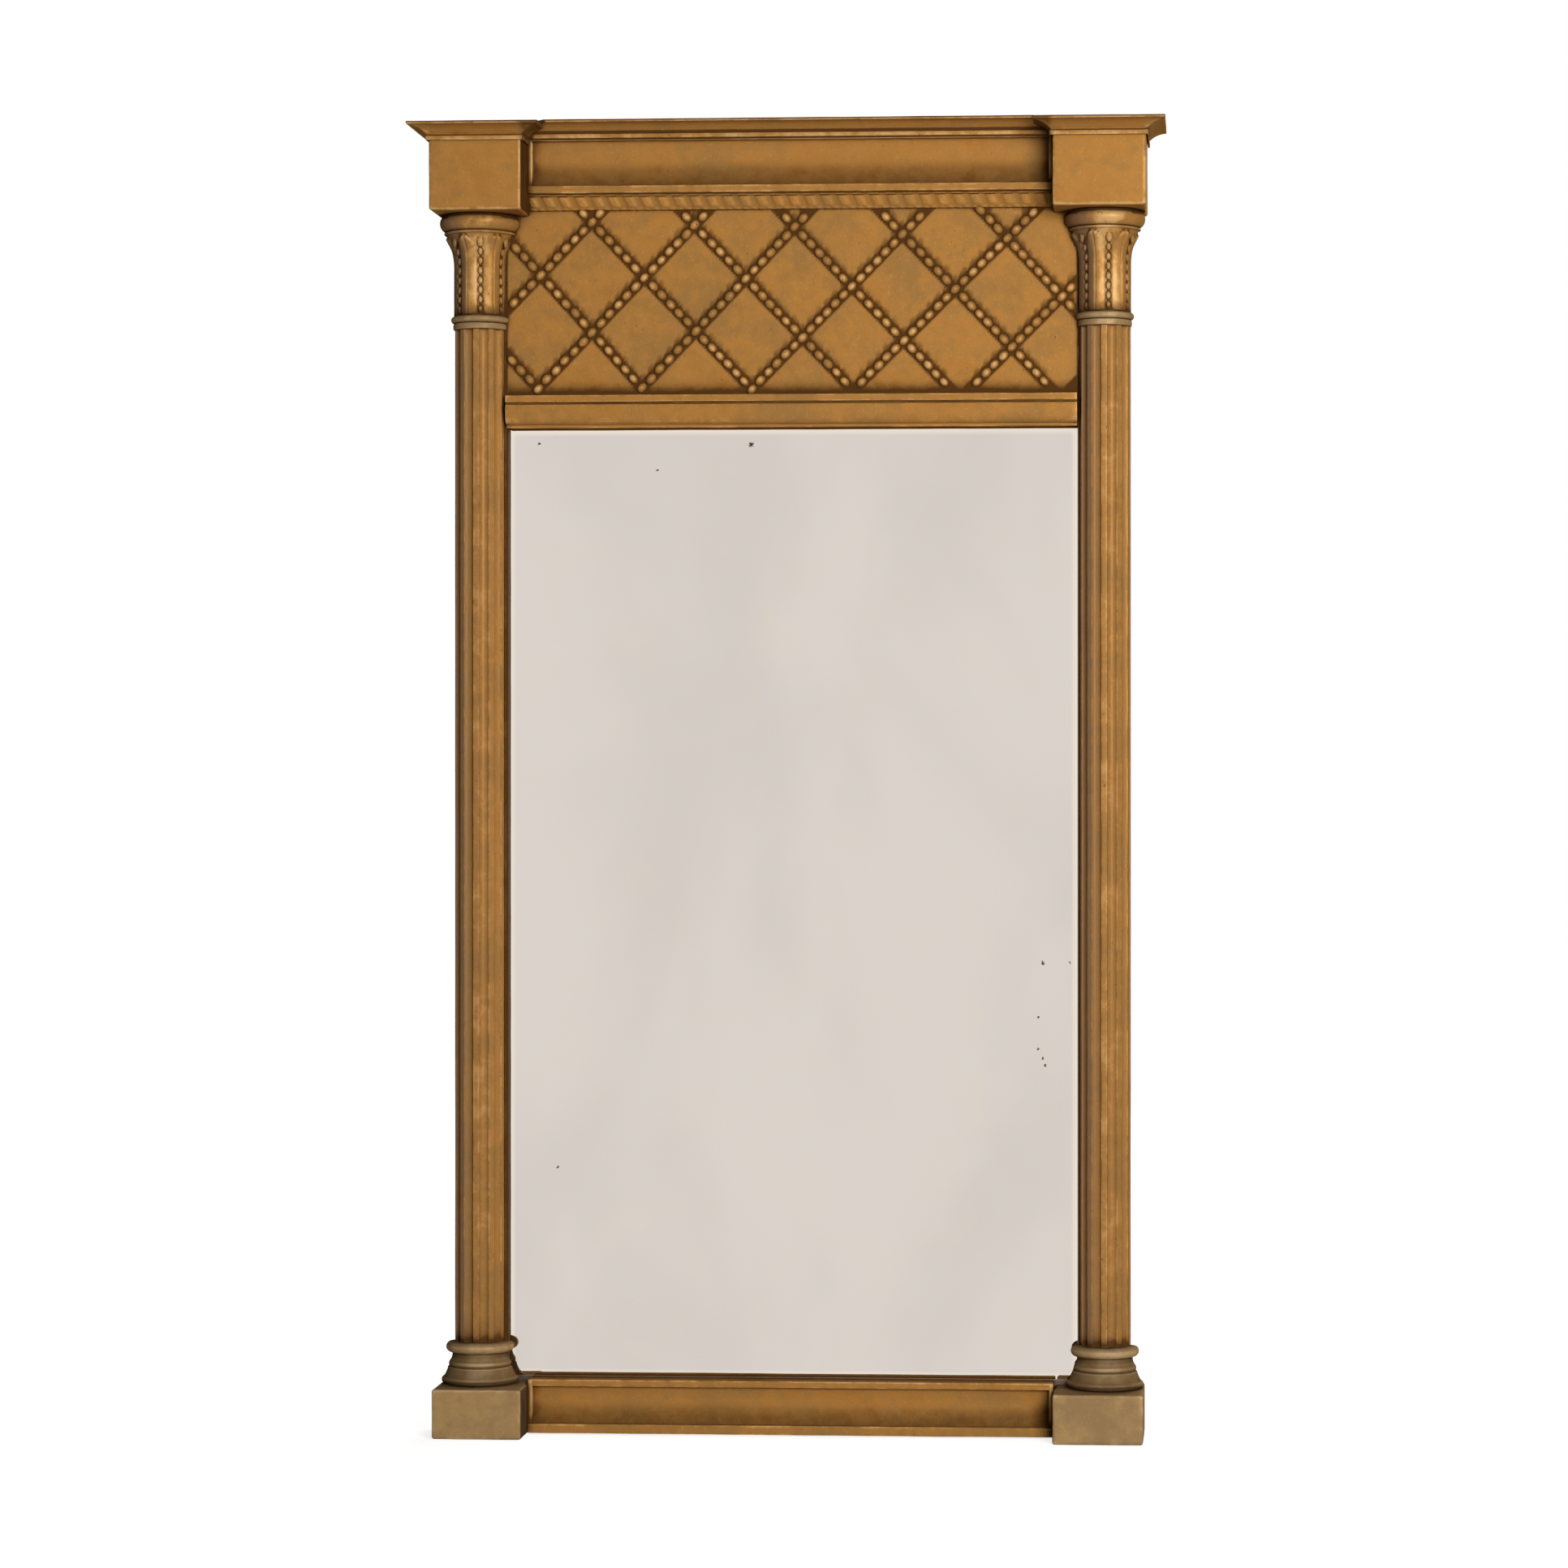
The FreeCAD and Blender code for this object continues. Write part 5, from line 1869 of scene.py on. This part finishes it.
def seen_directly(tree):
    """1 for rays that show the background: from the camera, off a gloss or through glass."""
    path = add(tree, "ShaderNodeLightPath").outputs
    return largest(tree, path["Is Camera Ray"], path["Is Glossy Ray"], path["Is Transmission Ray"])


def mixed(tree, share, first, second):
    """A shader between two shaders."""
    return add(tree, "ShaderNodeMixShader", {0: share, 1: first, 2: second}).outputs[0]


def studio_world():
    """White to the camera and in reflections, dim as a source of light."""
    world = bpy.data.worlds.new("studio")
    world.use_nodes = True
    tree = world.node_tree
    tree.nodes.clear()
    ambient = add(tree, "ShaderNodeBackground", {"Color": WHITE, "Strength": AMBIENT}).outputs[0]
    backdrop = add(tree, "ShaderNodeBackground", {"Color": WHITE, "Strength": 1.0}).outputs[0]
    surface = mixed(tree, seen_directly(tree), ambient, backdrop)
    add(tree, "ShaderNodeOutputWorld", {"Surface": surface})
    return world


def floor_paint():
    """A floor that looks white, catches the shadow near the mirror, and throws little light back."""
    material = bpy.data.materials.new("pale_floor")
    material.use_nodes = True
    tree = material.node_tree
    tree.nodes.clear()
    matt = add(tree, "ShaderNodeBsdfDiffuse", {"Color": GREY}).outputs[0]
    fade = ramp(tree, length_of(tree, object_place(tree)), FADE_START, FADE_END, NEAR_LIFT, 1.0)
    lift = add(tree, "ShaderNodeEmission", {"Color": WHITE, "Strength": fade}).outputs[0]
    plain_white = add(tree, "ShaderNodeEmission", {"Color": WHITE, "Strength": 1.0}).outputs[0]
    lifted = add(tree, "ShaderNodeAddShader", {0: matt, 1: lift}).outputs[0]
    by_eye = add(tree, "ShaderNodeLightPath").outputs["Is Camera Ray"]
    seen = mixed(tree, by_eye, plain_white, lifted)
    surface = mixed(tree, seen_directly(tree), matt, seen)
    add(tree, "ShaderNodeOutputMaterial", {"Surface": surface})
    return material


bpy.context.scene.world = studio_world()
floor_shape = bmesh.new()
bmesh.ops.create_grid(floor_shape, x_segments=1, y_segments=1, size=FLOOR_HALF)
bmesh.ops.translate(floor_shape, verts=floor_shape.verts, vec=(0, 0, frame_box[0][2] - FLOOR_DROP))
floor_mesh = bpy.data.meshes.new("floor")
floor_shape.to_mesh(floor_mesh)
floor_shape.free()
floor_mesh.materials.append(floor_paint())
floor = bpy.data.objects.new("floor", floor_mesh)
bpy.context.scene.collection.objects.link(floor)
print("studio ready, ambient level", AMBIENT)

# %% Lamps
# Each lamp: its place as seen from the middle of the mirror, its size and its power.
LAMPS = {
    "key": ((1.05, -2.5, 0.45), 1.0, 64),
    "fill": ((-2.4, -2.6, 0.5), 1.6, 2),
    "back": ((0.8, 2.4, 1.2), 1.6, 60),
}
aim = Vector((0, 0, (frame_box[0][2] + frame_box[1][2]) / 2))
for name, (offset, size, power) in LAMPS.items():
    light = bpy.data.lights.new(name, "AREA")
    light.energy = power
    light.size = size
    holder = bpy.data.objects.new(name, light)
    holder.location = aim + Vector(offset)
    holder.rotation_euler = (-Vector(offset)).to_track_quat("-Z", "Y").to_euler()
    bpy.context.scene.collection.objects.link(holder)
bpy.context.scene.view_settings.view_transform = "Standard"
print("lamps:", *LAMPS)

# %% Camera
EYE = (0.301, -3.0, -0.4297)
TURN_LEFT = math.radians(3.31)
LEVEL = math.radians(90)
SENSOR = 36
LENS_SHARE = 2.6795
LENS_SHIFT = -0.12
camera_data = bpy.data.cameras.new("view")
camera_data.sensor_width = SENSOR
camera_data.lens = LENS_SHARE * SENSOR
camera_data.shift_x = LENS_SHIFT
camera = bpy.data.objects.new("view", camera_data)
camera.location = EYE
camera.rotation_euler = (LEVEL, 0, TURN_LEFT)
bpy.context.scene.collection.objects.link(camera)
bpy.context.scene.camera = camera
print("camera", round(camera_data.lens, 1), "mm at", EYE)

# %% Print the size of the frame
print("frame box", [round(value, 4) for corner in frame_box for value in corner])
